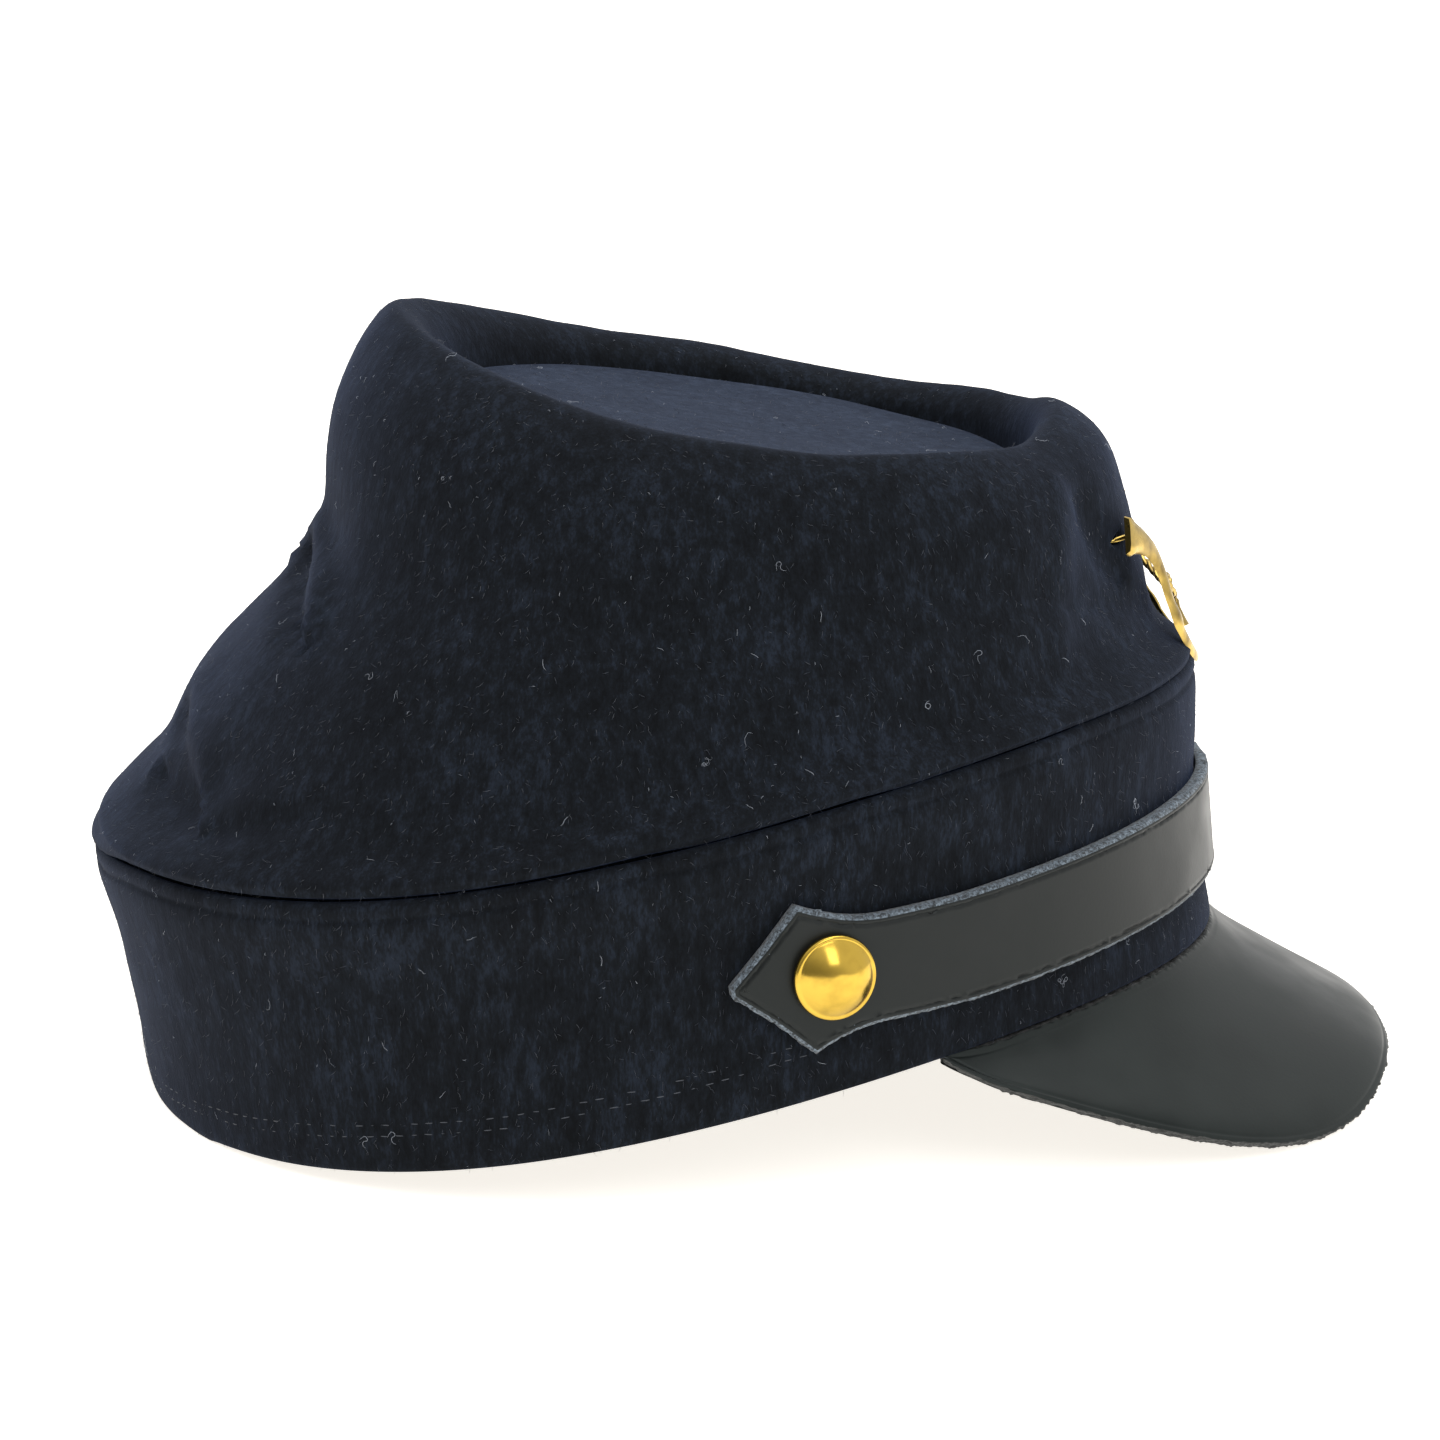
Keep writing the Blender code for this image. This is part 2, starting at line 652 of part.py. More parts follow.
def horn_stations():
    """The horn's curve: a bell at the cap's right, round below and up to its mouthpiece."""
    places = [(row["across"] * BADGE_WIDTH / 2, row["up"] * BADGE_HEIGHT) for row in HORN_ROWS]
    stations = []
    for i, row in enumerate(HORN_ROWS):
        before = Vector(places[max(i - 1, 0)])
        after = Vector(places[min(i + 1, len(places) - 1)])
        along = (after - before).normalized()
        stations.append((places[i], along, row["width"] * HORN_BELL_WIDTH, row["height"] * BADGE_THICKNESS))
    return stations


def line_stations(points, widths, height):
    """Stations along a line of points, each as wide as its entry says."""
    stations = []
    for i, point in enumerate(points):
        before = Vector(points[max(i - 1, 0)])
        after = Vector(points[min(i + 1, len(points) - 1)])
        stations.append((point, (after - before).normalized(), widths[i], height))
    return stations


def scaled(shares, side=1):
    """Points of the badge from shares of its half width and its height."""
    return [(side * x * BADGE_WIDTH / 2, y * BADGE_HEIGHT) for x, y in shares]


def smooth_line(points, per_span):
    """A rounded line through points, several for each span."""
    line = []
    for i in range(len(points) - 1):
        a, b = Vector(points[max(i - 1, 0)]), Vector(points[i])
        c, d = Vector(points[i + 1]), Vector(points[min(i + 2, len(points) - 1)])
        slope, curve, twist = c - a, 2 * a - 5 * b + 4 * c - d, 3 * b - a - 3 * c + d
        for k in range(per_span):
            t = k / per_span
            line.append(tuple(b + (slope * t + curve * t**2 + twist * t**3) / 2))
    return line + [tuple(points[-1])]


def pin_axis(side):
    """Where a pin leaves the horn's back, and the way it points into the crown."""
    row = BADGE_PIN_ROWS[side]
    (sideways, up), _, _, _ = horn_stations()[row]
    spot = badge_to_cap(sideways, up, BADGE_PIN_ROOT)
    inward = Vector((-cos(BADGE_LEAN), 0, -sin(BADGE_LEAN)))
    return spot, inward


def make_pin(side, radius, length, name, stand, material):
    """A straight pin from the badge's back through the crown, or the hole for it."""
    spot, inward = pin_axis(side)
    shaft = turned([(radius, 0.0), (radius, length)], PIN_SIDES, spot, inward)
    return add_piece(name, shaft, material, stand)


def join_solids(base, others):
    """Unites closed helpers with a base solid, one after the other."""
    for other in others:
        union = base.modifiers.new("join", "BOOLEAN")
        union.operation = "UNION"
        union.object = hide_helper(other)
    return base


def make_badge(material, stand):
    """The brass hunting horn on its cord, with the two pins that hold it to the crown."""
    badge = add_piece("badge", badge_tube(horn_stations()), material, stand)
    cord_line = smooth_line(scaled(CORD_POINTS), 2)
    cord = line_stations(cord_line, [CORD_DIAMETER] * len(cord_line), BADGE_THICKNESS * 0.62)
    parts = [add_piece("badge_cord", badge_tube(cord), material, stand)]
    widths = [CORD_DIAMETER, CORD_DIAMETER, TASSEL_DIAMETER]
    for side in (-1, 1):
        tassel = line_stations(scaled(TASSEL_POINTS, side), widths, BADGE_THICKNESS * 0.8)
        parts.append(add_piece(f"badge_tassel_{side}", badge_tube(tassel), material, stand))
        length = BADGE_PIN_ROOT + BADGE_PIN_REACH
        parts.append(make_pin(side, BADGE_PIN_DIAMETER / 2, length, f"badge_pin_{side}", stand, material))
    return join_solids(badge, parts)


def evaluated_points(piece):
    """The finished points of a piece in the cap's own level frame."""
    graph = bpy.context.evaluated_depsgraph_get()
    made = piece.evaluated_get(graph)
    mesh = made.to_mesh()
    points = [vertex.co.copy() for vertex in mesh.vertices]
    made.to_mesh_clear()
    return points


def lowest(points, tilt):
    """The lowest height of some points once the cap is tipped back."""
    return min(p.z * cos(tilt) + p.x * sin(tilt) for p in points)


def resting_tilt(band_points, peak_points):
    """The tilt at which the band's back edge, pressed in a little, and the peak both touch down."""
    low, high = 0.0, radians(45)
    for _ in range(50):
        middle = (low + high) / 2
        band_low = lowest(band_points, middle) + CLOTH_PRESS
        low, high = (middle, high) if lowest(peak_points, middle) < band_low else (low, middle)
    return (low + high) / 2


def make_table_cutter(span):
    """The table's body, which flattens the soft hem where the cap stands on it."""
    block = bmesh.new()
    bmesh.ops.create_cube(block, size=1.0)
    cutter = add_piece("table_cutter", block, finish("table_cutter", (1, 0, 0), 1.0))
    cutter.data.transform(Matrix.Diagonal((2 * span, 2 * span, span, 1)))
    cutter.location = (0, 0, -span / 2)
    return hide_helper(cutter)


def stand_on_table(stand, pieces, band, peak):
    """Tips the cap back until band and peak touch down, and centres it over the origin."""
    band_points, peak_points = evaluated_points(band), evaluated_points(peak)
    tilt = resting_tilt(band_points, peak_points)
    points = [point for piece in pieces for point in evaluated_points(piece)]
    xs = [p.x * cos(tilt) - p.z * sin(tilt) for p in points]
    stand.rotation_euler = (0, -tilt, 0)
    stand.location = (-(min(xs) + max(xs)) / 2, 0, -lowest(peak_points, tilt))


def main():
    clear_scene()
    stand = bpy.data.objects.new("cap", None)
    bpy.context.scene.collection.objects.link(stand)

    wool = finish("navy wool", (0.016, 0.021, 0.038), 0.95)
    leather = finish("black leather", (0.022, 0.024, 0.026), 0.42)
    brass = finish("polished brass", (0.86, 0.60, 0.16), 0.22, 1.0)

    band = make_band(wool, stand)
    crown = make_crown(wool, stand)
    top = make_top(wool, stand)
    peak = make_peak(leather, stand)
    strap = make_strap(leather, stand)
    buttons = []
    for name, side in (("button_right", -1), ("button_left", 1)):
        buttons.append(make_button(name, side, brass, stand))
        hole = make_button_hole(f"{name}_hole", side, stand)
        bore(band, hole)
        bore(strap, hole)
    badge = make_badge(brass, stand)
    for side in (-1, 1):
        radius = BADGE_PIN_DIAMETER / 2 + HOLE_CLEARANCE
        length = 2 * BADGE_PIN_REACH
        cutter = make_pin(side, radius, length, f"badge_hole_{side}", stand, brass)
        bore(crown, hide_helper(cutter))

    stand_on_table(stand, [band, crown, top, peak, strap, badge, *buttons], band, peak)
    bore(band, make_table_cutter(BAND_LENGTH + BAND_WIDTH))


main()
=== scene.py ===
import random
from math import cos, pi, radians, sin

import bpy
import numpy as np
from mathutils import Matrix, Vector, kdtree, noise
from mathutils.bvhtree import BVHTree


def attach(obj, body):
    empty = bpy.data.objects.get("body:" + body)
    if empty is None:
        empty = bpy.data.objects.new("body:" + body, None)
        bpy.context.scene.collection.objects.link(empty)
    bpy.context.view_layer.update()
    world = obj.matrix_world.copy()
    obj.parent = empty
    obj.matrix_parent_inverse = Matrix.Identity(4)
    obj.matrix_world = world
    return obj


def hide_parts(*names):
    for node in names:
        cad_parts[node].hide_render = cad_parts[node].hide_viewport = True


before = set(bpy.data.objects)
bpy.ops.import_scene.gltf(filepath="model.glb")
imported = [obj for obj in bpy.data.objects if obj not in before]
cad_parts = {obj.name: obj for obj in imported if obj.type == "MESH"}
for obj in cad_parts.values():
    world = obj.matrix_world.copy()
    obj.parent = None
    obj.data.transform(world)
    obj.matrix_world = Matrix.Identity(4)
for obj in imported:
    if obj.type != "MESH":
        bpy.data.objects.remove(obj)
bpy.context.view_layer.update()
MM = 0.001


# The band is a tall strip of navy melton wool round the head. Its lower edge is turned in and
# sewn flat, and the crown is sewn in behind the rolled welt along its upper edge.

TIP_BACK = radians(8.627)
STAND_FORWARD = -11.255 * MM
STAND_UP = 14.686 * MM
CLOTH_CENTRE = (0.0, 0.0, 45 * MM)
WELT_WIDTH = 2.7 * MM
WELT_RISE = 0.55 * MM
WELT_GROOVE = 0.35 * MM
HEM_TURN = 9.0 * MM
HEM_STEP = 0.25 * MM
BAND_RIPPLE = 0.55 * MM
BAND_RIPPLE_SPAN = 26 * MM
BAND_RIPPLE_LEAST = 0.15
BAND_RIPPLE_FROM = 4 * MM
BACK_DIP = 3.8 * MM
BACK_DIP_FROM = 148
BACK_DIP_FADE = 24 * MM
FINE_RIPPLE_SHARE = 0.3
HEM_STEP_EASE = 0.8 * MM
POST_HOLE_REACH = 3.0 * MM
WALL_REACH = 12 * MM
AROUND_STEP = 6.0
NAVY_DARK = (0.0020, 0.0027, 0.0036)
NAVY = (0.0046, 0.0062, 0.0086)
NAVY_WORN = (0.0115, 0.0160, 0.0250)


def only(*pieces):
    """Selects these objects alone and makes the first one active."""
    bpy.ops.object.select_all(action="DESELECT")
    for piece in pieces:
        piece.select_set(True)
    bpy.context.view_layer.objects.active = pieces[0]


def edit(piece, mode="FACE"):
    """Opens a piece in edit mode with nothing selected."""
    only(piece)
    bpy.ops.object.mode_set(mode="EDIT")
    bpy.ops.mesh.select_mode(type=mode)
    bpy.ops.mesh.select_all(action="DESELECT")


def done():
    """Leaves edit mode."""
    bpy.ops.object.mode_set(mode="OBJECT")


def pick(piece, kind, wanted):
    """Selects the faces, edges or vertices of a piece in edit mode whose centre passes a test."""
    done()
    mesh = piece.data
    for vertex in mesh.vertices:
        vertex.select = kind == "vertices" and bool(wanted(vertex.co))
    for edge in mesh.edges:
        ends = [mesh.vertices[i] for i in edge.vertices]
        if kind == "vertices":
            edge.select = all(v.select for v in ends)
        else:
            edge.select = kind == "edges" and bool(wanted((ends[0].co + ends[1].co) / 2))
    for face in mesh.polygons:
        face.select = kind == "faces" and bool(wanted(face))
    bpy.ops.object.mode_set(mode="EDIT")


def add_object(name, data):
    """A new object in the scene."""
    made = bpy.data.objects.new(name, data)
    bpy.context.scene.collection.objects.link(made)
    return made


def from_node(node, name):
    """A new piece with a CAD node's shape: its triangles welded and paired into quads."""
    piece = add_object(name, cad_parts[node].data.copy())
    piece.data.materials.clear()
    only(piece)
    if piece.data.has_custom_normals:
        bpy.ops.mesh.customdata_custom_splitnormals_clear()
    bpy.ops.object.mode_set(mode="EDIT")
    bpy.ops.mesh.select_all(action="SELECT")
    bpy.ops.mesh.remove_doubles(threshold=0.01 * MM)
    bpy.ops.mesh.tris_convert_to_quads(face_threshold=radians(60), shape_threshold=radians(60))
    done()
    return piece


def close_hole(piece, place, way, reach):
    """Takes away what lies within reach of a post's line, and fills the gap in each wall."""
    edit(piece, "VERT")

    def in_hole(co):
        away = co - place
        return away.cross(way).length < reach and abs(away.dot(way)) < WALL_REACH

    pick(piece, "vertices", in_hole)
    bpy.ops.mesh.delete(type="VERT")
    bpy.ops.mesh.select_mode(type="EDGE")
    bpy.ops.mesh.select_all(action="DESELECT")
    bpy.ops.mesh.select_non_manifold()
    bpy.ops.mesh.fill_holes(sides=0)
    done()


def apply_modifier(piece, kind, **settings):
    """Adds a modifier with these settings and applies it."""
    only(piece)
    modifier = piece.modifiers.new(kind.lower(), kind)
    for key, value in settings.items():
        setattr(modifier, key, value)
    bpy.ops.object.modifier_apply(modifier=modifier.name)


def round_over(piece, levels):
    """Rounds a piece's faces into a smooth surface."""
    apply_modifier(piece, "SUBSURF", levels=levels, render_levels=levels)


def points_of(piece):
    """A piece's vertices as rows of x, y, z."""
    flat = np.empty(len(piece.data.vertices) * 3)
    piece.data.vertices.foreach_get("co", flat)
    return flat.reshape(-1, 3)


def set_points(piece, points):
    """Moves a piece's vertices to these rows."""
    piece.data.vertices.foreach_set("co", points.ravel())
    piece.data.update()


def level(points):
    """Points in the worn cap's own upright frame: forward, left and height above the hem."""
    moved = points - np.array([STAND_FORWARD, 0.0, STAND_UP])
    forward = moved[:, 0] * cos(TIP_BACK) + moved[:, 2] * sin(TIP_BACK)
    height = moved[:, 2] * cos(TIP_BACK) - moved[:, 0] * sin(TIP_BACK)
    return np.column_stack([forward, moved[:, 1], height])


def outward(points):
    """The direction out of the cap at each point."""
    away = points - np.array(CLOTH_CENTRE)
    return away / np.linalg.norm(away, axis=1)[:, None]


def sideways_out(points):
    """The level direction out of the cap at each point."""
    away = outward(points) * np.array([1.0, 1.0, 0.25])
    return away / np.linalg.norm(away, axis=1)[:, None]


def turns_of(upright):
    """The angle of each upright point round the cap from the front, in degrees."""
    return np.degrees(np.arctan2(upright[:, 1], upright[:, 0]))


def round_cap(turns, values, reach, chosen):
    """A value for any angle round the cap, chosen from the points within reach of even steps."""
    around = np.arange(-180, 180, AROUND_STEP)
    found = [chosen(values[np.abs((turns - angle + 180) % 360 - 180) < reach]) for angle in around]
    return lambda at: np.interp(at, np.append(around, 180.0), np.append(found, found[0]))


def edge_round(node, upper):
    """The height of a node's upper or lower edge for angles round the cap, as a function."""
    points = level(points_of(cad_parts[node]))
    return round_cap(turns_of(points), points[:, 2], 4, np.max if upper else np.min)


def back_dip(turn):
    """How far the seam sinks at the back, where the crown bulges down over the band."""
    share = np.clip((np.abs(turn) - BACK_DIP_FROM) / (180 - BACK_DIP_FROM), 0.0, 1.0)
    return BACK_DIP * share * share * (3 - 2 * share)


def swell(distance, reach):
    """A smooth rise and fall, 1 at its middle."""
    return np.exp(-((distance / reach) ** 2))


def cloth_noise(points, span, seed):
    """Soft noise between about -1 and 1 with lumps of a given span."""
    shift = Vector((seed * 3.7, seed * 1.3, seed * 7.1))
    return np.array([noise.noise(Vector(p) / span + shift) for p in points.tolist()])


def set_inputs(node, values):
    """Sets a shader node's inputs by their names."""
    for name, value in values.items():
        node.inputs[name].default_value = value


def new_material(name, values):
    """A material with these values on its shader, its tree, the shader and the piece's own places."""
    made = bpy.data.materials.new(name)
    made.use_nodes = True
    tree = made.node_tree
    shader = tree.nodes["Principled BSDF"]
    set_inputs(shader, values)
    return made, tree, shader, tree.nodes.new("ShaderNodeTexCoord").outputs["Object"]


def mottle(tree, place, scale, detail=2.0, roughness=0.5):
    """The value of a noise pattern at each place."""
    pattern = tree.nodes.new("ShaderNodeTexNoise")
    set_inputs(pattern, {"Scale": scale, "Detail": detail, "Roughness": roughness})
    tree.links.new(place, pattern.inputs["Vector"])
    return pattern.outputs["Fac"]


def mixed(tree, first, second, factor):
    """Two patterns mixed into one."""
    mix = tree.nodes.new("ShaderNodeMix")
    mix.data_type = "FLOAT"
    mix.inputs["Factor"].default_value = factor
    tree.links.new(first, mix.inputs["A"])
    tree.links.new(second, mix.inputs["B"])
    return mix.outputs["Result"]


def tint(tree, shader, pattern, stops):
    """Colours a shader by a pattern, from stops that each have a value and a colour."""
    colours = tree.nodes.new("ShaderNodeValToRGB")
    marks = colours.color_ramp.elements
    marks[0].position, marks[1].position = stops[0][0], stops[-1][0]
    for value, _ in stops[1:-1]:
        marks.new(value)
    for mark, (_, colour) in zip(marks, stops):
        mark.color = (*colour, 1.0)
    tree.links.new(pattern, colours.inputs["Fac"])
    tree.links.new(colours.outputs["Color"], shader.inputs["Base Color"])


def relief(tree, shader, pattern, strength, depth):
    """Raises a shader's surface by a pattern."""
    bump = tree.nodes.new("ShaderNodeBump")
    set_inputs(bump, {"Strength": strength, "Distance": depth})
    tree.links.new(pattern, bump.inputs["Height"])
    tree.links.new(bump.outputs["Normal"], shader.inputs["Normal"])


def wool(name, dark, middle, worn, patch_scale=55.0):
    """Milled navy wool: patches where the nap lies differently, over fine flecks and streaks of nap."""
    finish = {"Roughness": 0.92, "Specular IOR Level": 0.12, "Sheen Weight": 0.075}
    finish.update({"Sheen Roughness": 0.42, "Sheen Tint": (0.30, 0.46, 1.0, 1.0)})
    cloth, tree, shader, place = new_material(name, finish)
    lie = tree.nodes.new("ShaderNodeMapping")
    lie.inputs["Scale"].default_value = (1.0, 1.0, 0.35)
    tree.links.new(place, lie.inputs["Vector"])
    nap = mottle(tree, lie.outputs["Vector"], 1900.0, 3.0, 0.7)
    flecks = mottle(tree, lie.outputs["Vector"], 520.0, 4.0)
    hairy = mixed(tree, nap, flecks, 0.5)
    patchy = mixed(tree, hairy, mottle(tree, place, patch_scale, 6.0, 0.62), 0.27)
    tint(tree, shader, patchy, [(0.40, dark), (0.51, middle), (0.62, worn)])
    relief(tree, shader, hairy, 0.7, 0.3 * MM)
    return cloth


def dress(piece, material, nodes):
    """Rests a finished piece on the table, with its material and the CAD nodes it stands for."""
    points = points_of(piece)
    points[:, 2] = np.maximum(points[:, 2], 0.0)
    set_points(piece, points)
    piece.data.materials.append(material)
    piece.data.shade_smooth()
    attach(piece, "root")
    if nodes:
        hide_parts(*nodes)


def post_line(node):
    """The middle of a turned node, and the way its axis points out of the cap."""
    points = points_of(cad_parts[node])
    middle = (points.min(axis=0) + points.max(axis=0)) / 2
    spread = np.linalg.svd(points - points.mean(axis=0), full_matrices=False)[2]
    side = 1.0 if middle[1] > 0 else -1.0
    axis = max(spread, key=lambda row: abs(row[1]))
    axis = axis * np.sign(axis[1]) * side
    return Vector(middle), Vector(axis).normalized()


def skin_tree(piece):
    """A lookup of a piece's nearest outer surface."""
    corners = [vertex.co for vertex in piece.data.vertices]
    return BVHTree.FromPolygons(corners, [tuple(face.vertices) for face in piece.data.polygons])


STAND = Matrix.Translation((STAND_FORWARD, 0.0, STAND_UP)) @ Matrix.Rotation(-TIP_BACK, 4, "Y")


def from_level(forward, left, height):
    """A place in the cap's upright frame, in the standing cap."""
    return STAND @ Vector((forward, left, height))


def on_skin(tree, turn, height, reach=0.2):
    """The outer surface of the cloth at an angle round the cap and a height over the hem."""
    direction = STAND.to_3x3() @ Vector((cos(radians(turn)), sin(radians(turn)), 0.0))
    start = from_level(0.0, 0.0, height) + direction * reach
    place, normal, _, _ = tree.ray_cast(start, -direction)
    return place, normal


navy_wool = wool("navy_wool", NAVY_DARK, NAVY, NAVY_WORN)
seam_height = edge_round("band", upper=True)
hem_height = edge_round("band", upper=False)
band = from_node("band", "wool_band")
for button_node in ("button_right", "button_left"):
    close_hole(band, *post_line(button_node), POST_HOLE_REACH)
round_over(band, 3)
smooth_band = skin_tree(band)
band_points = points_of(band)
upright = level(band_points)
turn = turns_of(upright)
below_seam = seam_height(turn) - upright[:, 2]
above_hem = upright[:, 2] - hem_height(turn)
welt = WELT_RISE * swell(below_seam - WELT_WIDTH / 2, WELT_WIDTH / 2)
welt = welt - WELT_GROOVE * swell(below_seam - WELT_WIDTH * 1.3, WELT_WIDTH / 5)
lowered = back_dip(turn) * np.clip(1 - below_seam / BACK_DIP_FADE, 0.0, 1.0)
hem_fold = HEM_STEP / (1 + np.exp((above_hem - HEM_TURN) / HEM_STEP_EASE))
ripple = BAND_RIPPLE * cloth_noise(band_points, BAND_RIPPLE_SPAN, 1)
ripple = ripple + FINE_RIPPLE_SHARE * BAND_RIPPLE * cloth_noise(band_points, BAND_RIPPLE_SPAN / 3, 2)
ripple = ripple * np.clip(above_hem / BAND_RIPPLE_FROM, BAND_RIPPLE_LEAST, 1.0)
band_points = band_points + sideways_out(band_points) * (welt + hem_fold + ripple)[:, None]
band_points[:, 2] -= lowered
set_points(band, band_points)
dress(band, navy_wool, ["band"])


# The crown is one wall of the same wool, too tall for its stiffening, so it has slumped forward
# and creased. Its top is rolled over into a rim that dips inside to the sewn-in round.

FOLD_STEPS = 14
FOLD_FADE_FROM = 0.3
FOLD_VALLEY_SHARE = 0.62
FOLD_LIP_SHARE = 0.7
CROWN_RIPPLE = 0.75 * MM
CROWN_RIPPLE_SPAN = 24 * MM
CROWN_FIRM = 8 * MM
SEAM_FINE = 7 * MM
SEAM_FINE_OVER = 1 * MM
SEAM_ROLL_LAP = 0.9 * MM
SEAM_ROLL_FULL = 0.8 * MM
SEAM_ROLL_FADE = 4.2 * MM
SEAM_ROLL_SHY = 0.05 * MM
SEAM_ROLL_UNDER = 0.95
SEAM_ROLL_RISE = 0.9 * MM
SEAM_EDGE = (-4 * MM, 0.5 * MM)
SEAM_CLOTH = (0.8 * MM, 3.5 * MM)

# Each fold runs over three places, each an angle round the cap from the front and a height above
# the hem in mm. It is so many mm wide and deep, or stands out where its depth is negative, and its
# lip stands up on its upper side.
FOLDS = [
    {"from": (-176, 96), "over": (-160, 93), "to": (-140, 84), "wide": 4.5, "deep": 2.6, "lip": 1.6},
    {"from": (-172, 72), "over": (-160, 66), "to": (-148, 58), "wide": 5.0, "deep": 1.6, "lip": 1.0},
    {"from": (-166, 61), "over": (-156, 57), "to": (-146, 56), "wide": 5.0, "deep": 1.8, "lip": 0.9},
    {"from": (-144, 55), "over": (-138, 57), "to": (-128, 60), "wide": 4.5, "deep": 1.1, "lip": 0.6},
    {"from": (-24, 92), "over": (-28, 78), "to": (-34, 62), "wide": 7.5, "deep": -1.0, "lip": 0.0},
    {"from": (-20, 88), "over": (-18, 79), "to": (-13, 70), "wide": 8.0, "deep": 2.3, "lip": 0.0},
    {"from": (-24, 69), "over": (-14, 66), "to": (-6, 61), "wide": 4.5, "deep": 0.9, "lip": 0.4},
    {"from": (-60, 86), "over": (-42, 81), "to": (-28, 71), "wide": 9.0, "deep": 1.0, "lip": 0.5},
    {"from": (178, 92), "over": (162, 88), "to": (144, 84), "wide": 5.5, "deep": 2.0, "lip": 1.1},
    {"from": (170, 66), "over": (156, 60), "to": (140, 57), "wide": 6.0, "deep": 1.5, "lip": 0.8},
    {"from": (30, 82), "over": (46, 76), "to": (66, 78), "wide": 8.0, "deep": 1.2, "lip": 0.5},
    {"from": (95, 92), "over": (112, 84), "to": (126, 80), "wide": 9.0, "deep": 1.1, "lip": 0.5},
]


def fold_line(fold):
    """Places along a fold, as angles round the cap and heights."""
    first, middle, last = (Vector(fold[key]) for key in ("from", "over", "to"))
    line = []
    for step in range(FOLD_STEPS + 1):
        t = step / FOLD_STEPS
        line.append(first * (1 - t) ** 2 + middle * 2 * t * (1 - t) + last * t**2)
    return line


def press_fold(upright, fold):
    """How far a fold moves each point out of the cap."""
    radius = np.hypot(upright[:, 0], upright[:, 1])
    turn = turns_of(upright)
    line = fold_line(fold)
    best = np.full(len(upright), 1e9)
    above = np.zeros(len(upright))
    for index, place in enumerate(line):
        across = np.radians((turn - place.x + 180) % 360 - 180) * radius
        rise = upright[:, 2] - place.y * MM
        apart = np.hypot(across, rise)
        past = max(abs(index / FOLD_STEPS - 0.5) - FOLD_FADE_FROM, 0.0)
        ends = 1 + 2.0 * (past / (0.5 - FOLD_FADE_FROM)) ** 2
        near = apart * ends < best
        best = np.where(near, apart * ends, best)
        above = np.where(near, rise, above)
    wide = fold["wide"] * MM
    valley = -fold["deep"] * MM * swell(best, wide * FOLD_VALLEY_SHARE)
    lip = fold["lip"] * MM * swell(best - wide, wide * FOLD_LIP_SHARE) * (above > 0)
    return valley + lip


def over_seam(points):
    """The angle and the distance out of the cap of each point, and how high it is over the seam."""
    upright = level(points)
    turn = turns_of(upright)
    return turn, np.hypot(upright[:, 0], upright[:, 1]), upright[:, 2] - seam_height(turn) + back_dip(turn)


def skin_round(points, low, high):
    """The outer skin's distance out between two heights over the seam, for angles round the cap."""
    turn, out, over = over_seam(points)
    inside = (over > low) & (over < high)
    return round_cap(turn[inside], out[inside], 5, np.max)


def roll_out(cloth, edge):
    """How far the cloth over the seam swells out to lie on the band's rolled edge."""
    turn, _, over = over_seam(cloth)
    gap = skin_round(edge, *SEAM_EDGE)(turn) - skin_round(cloth, *SEAM_CLOTH)(turn)
    rise = np.clip((over + SEAM_ROLL_LAP) / SEAM_ROLL_RISE, 0.0, 1.0)
    fall = np.exp(-((np.clip(over - SEAM_ROLL_FULL, 0.0, None) / SEAM_ROLL_FADE) ** 2))
    return np.clip(gap - SEAM_ROLL_SHY, 0.0, None) * rise * rise * (3 - 2 * rise) * fall


crown = from_node("crown", "wool_crown")
round_over(crown, 2)
crown_seams = over_seam(points_of(crown))[2]
seam_apart = np.abs(crown_seams - SEAM_FINE_OVER)
pick(crown, "faces", lambda face: max(seam_apart[i] for i in face.vertices) < SEAM_FINE)
bpy.ops.mesh.subdivide(number_cuts=1)
done()
crown_points = points_of(crown)
upright = level(crown_points)
above_seam = over_seam(crown_points)[2]
moved = sum(press_fold(upright, fold) for fold in FOLDS)
moved = moved + CROWN_RIPPLE * cloth_noise(crown_points, CROWN_RIPPLE_SPAN, 3)
moved = moved + FINE_RIPPLE_SHARE * CROWN_RIPPLE * cloth_noise(crown_points, CROWN_RIPPLE_SPAN / 3, 4)
moved = moved * np.clip(above_seam / CROWN_FIRM, 0.0, 1.0)
crown_points = crown_points + outward(crown_points) * moved[:, None]
rolled = SEAM_ROLL_UNDER * roll_out(crown_points, band_points)
set_points(crown, crown_points + sideways_out(crown_points) * rolled[:, None])
dress(crown, navy_wool, ["crown"])


# The top is a flat oval of stiffened wool, sewn in face down inside the rolled rim. Its edge is
# drawn in a little by the seam, and its middle has sunk slightly.

TOP_RINGS = 8
TOP_RING_WIDTH = 5.4 * MM
TOP_SINK = 0.9 * MM
TOP_SINK_REACH = 46 * MM
TOP_RIPPLE = 0.35 * MM
TOP_RIPPLE_SPAN = 20 * MM
TOP_SLOPE = radians(16.9)
TOP_FACING = 0.98
# The top is the same wool as the crown, but its colours are painted several times lighter and bluer. This
# is painted light standing in for the light falling on its upturned face and the sheen seen across it.
TOP_PAINTED_LIT_NAVY_DARK = (0.0085, 0.0115, 0.0190)
TOP_PAINTED_LIT_NAVY = (0.0145, 0.0200, 0.0320)
TOP_PAINTED_LIT_NAVY_WORN = (0.0270, 0.0360, 0.0560)
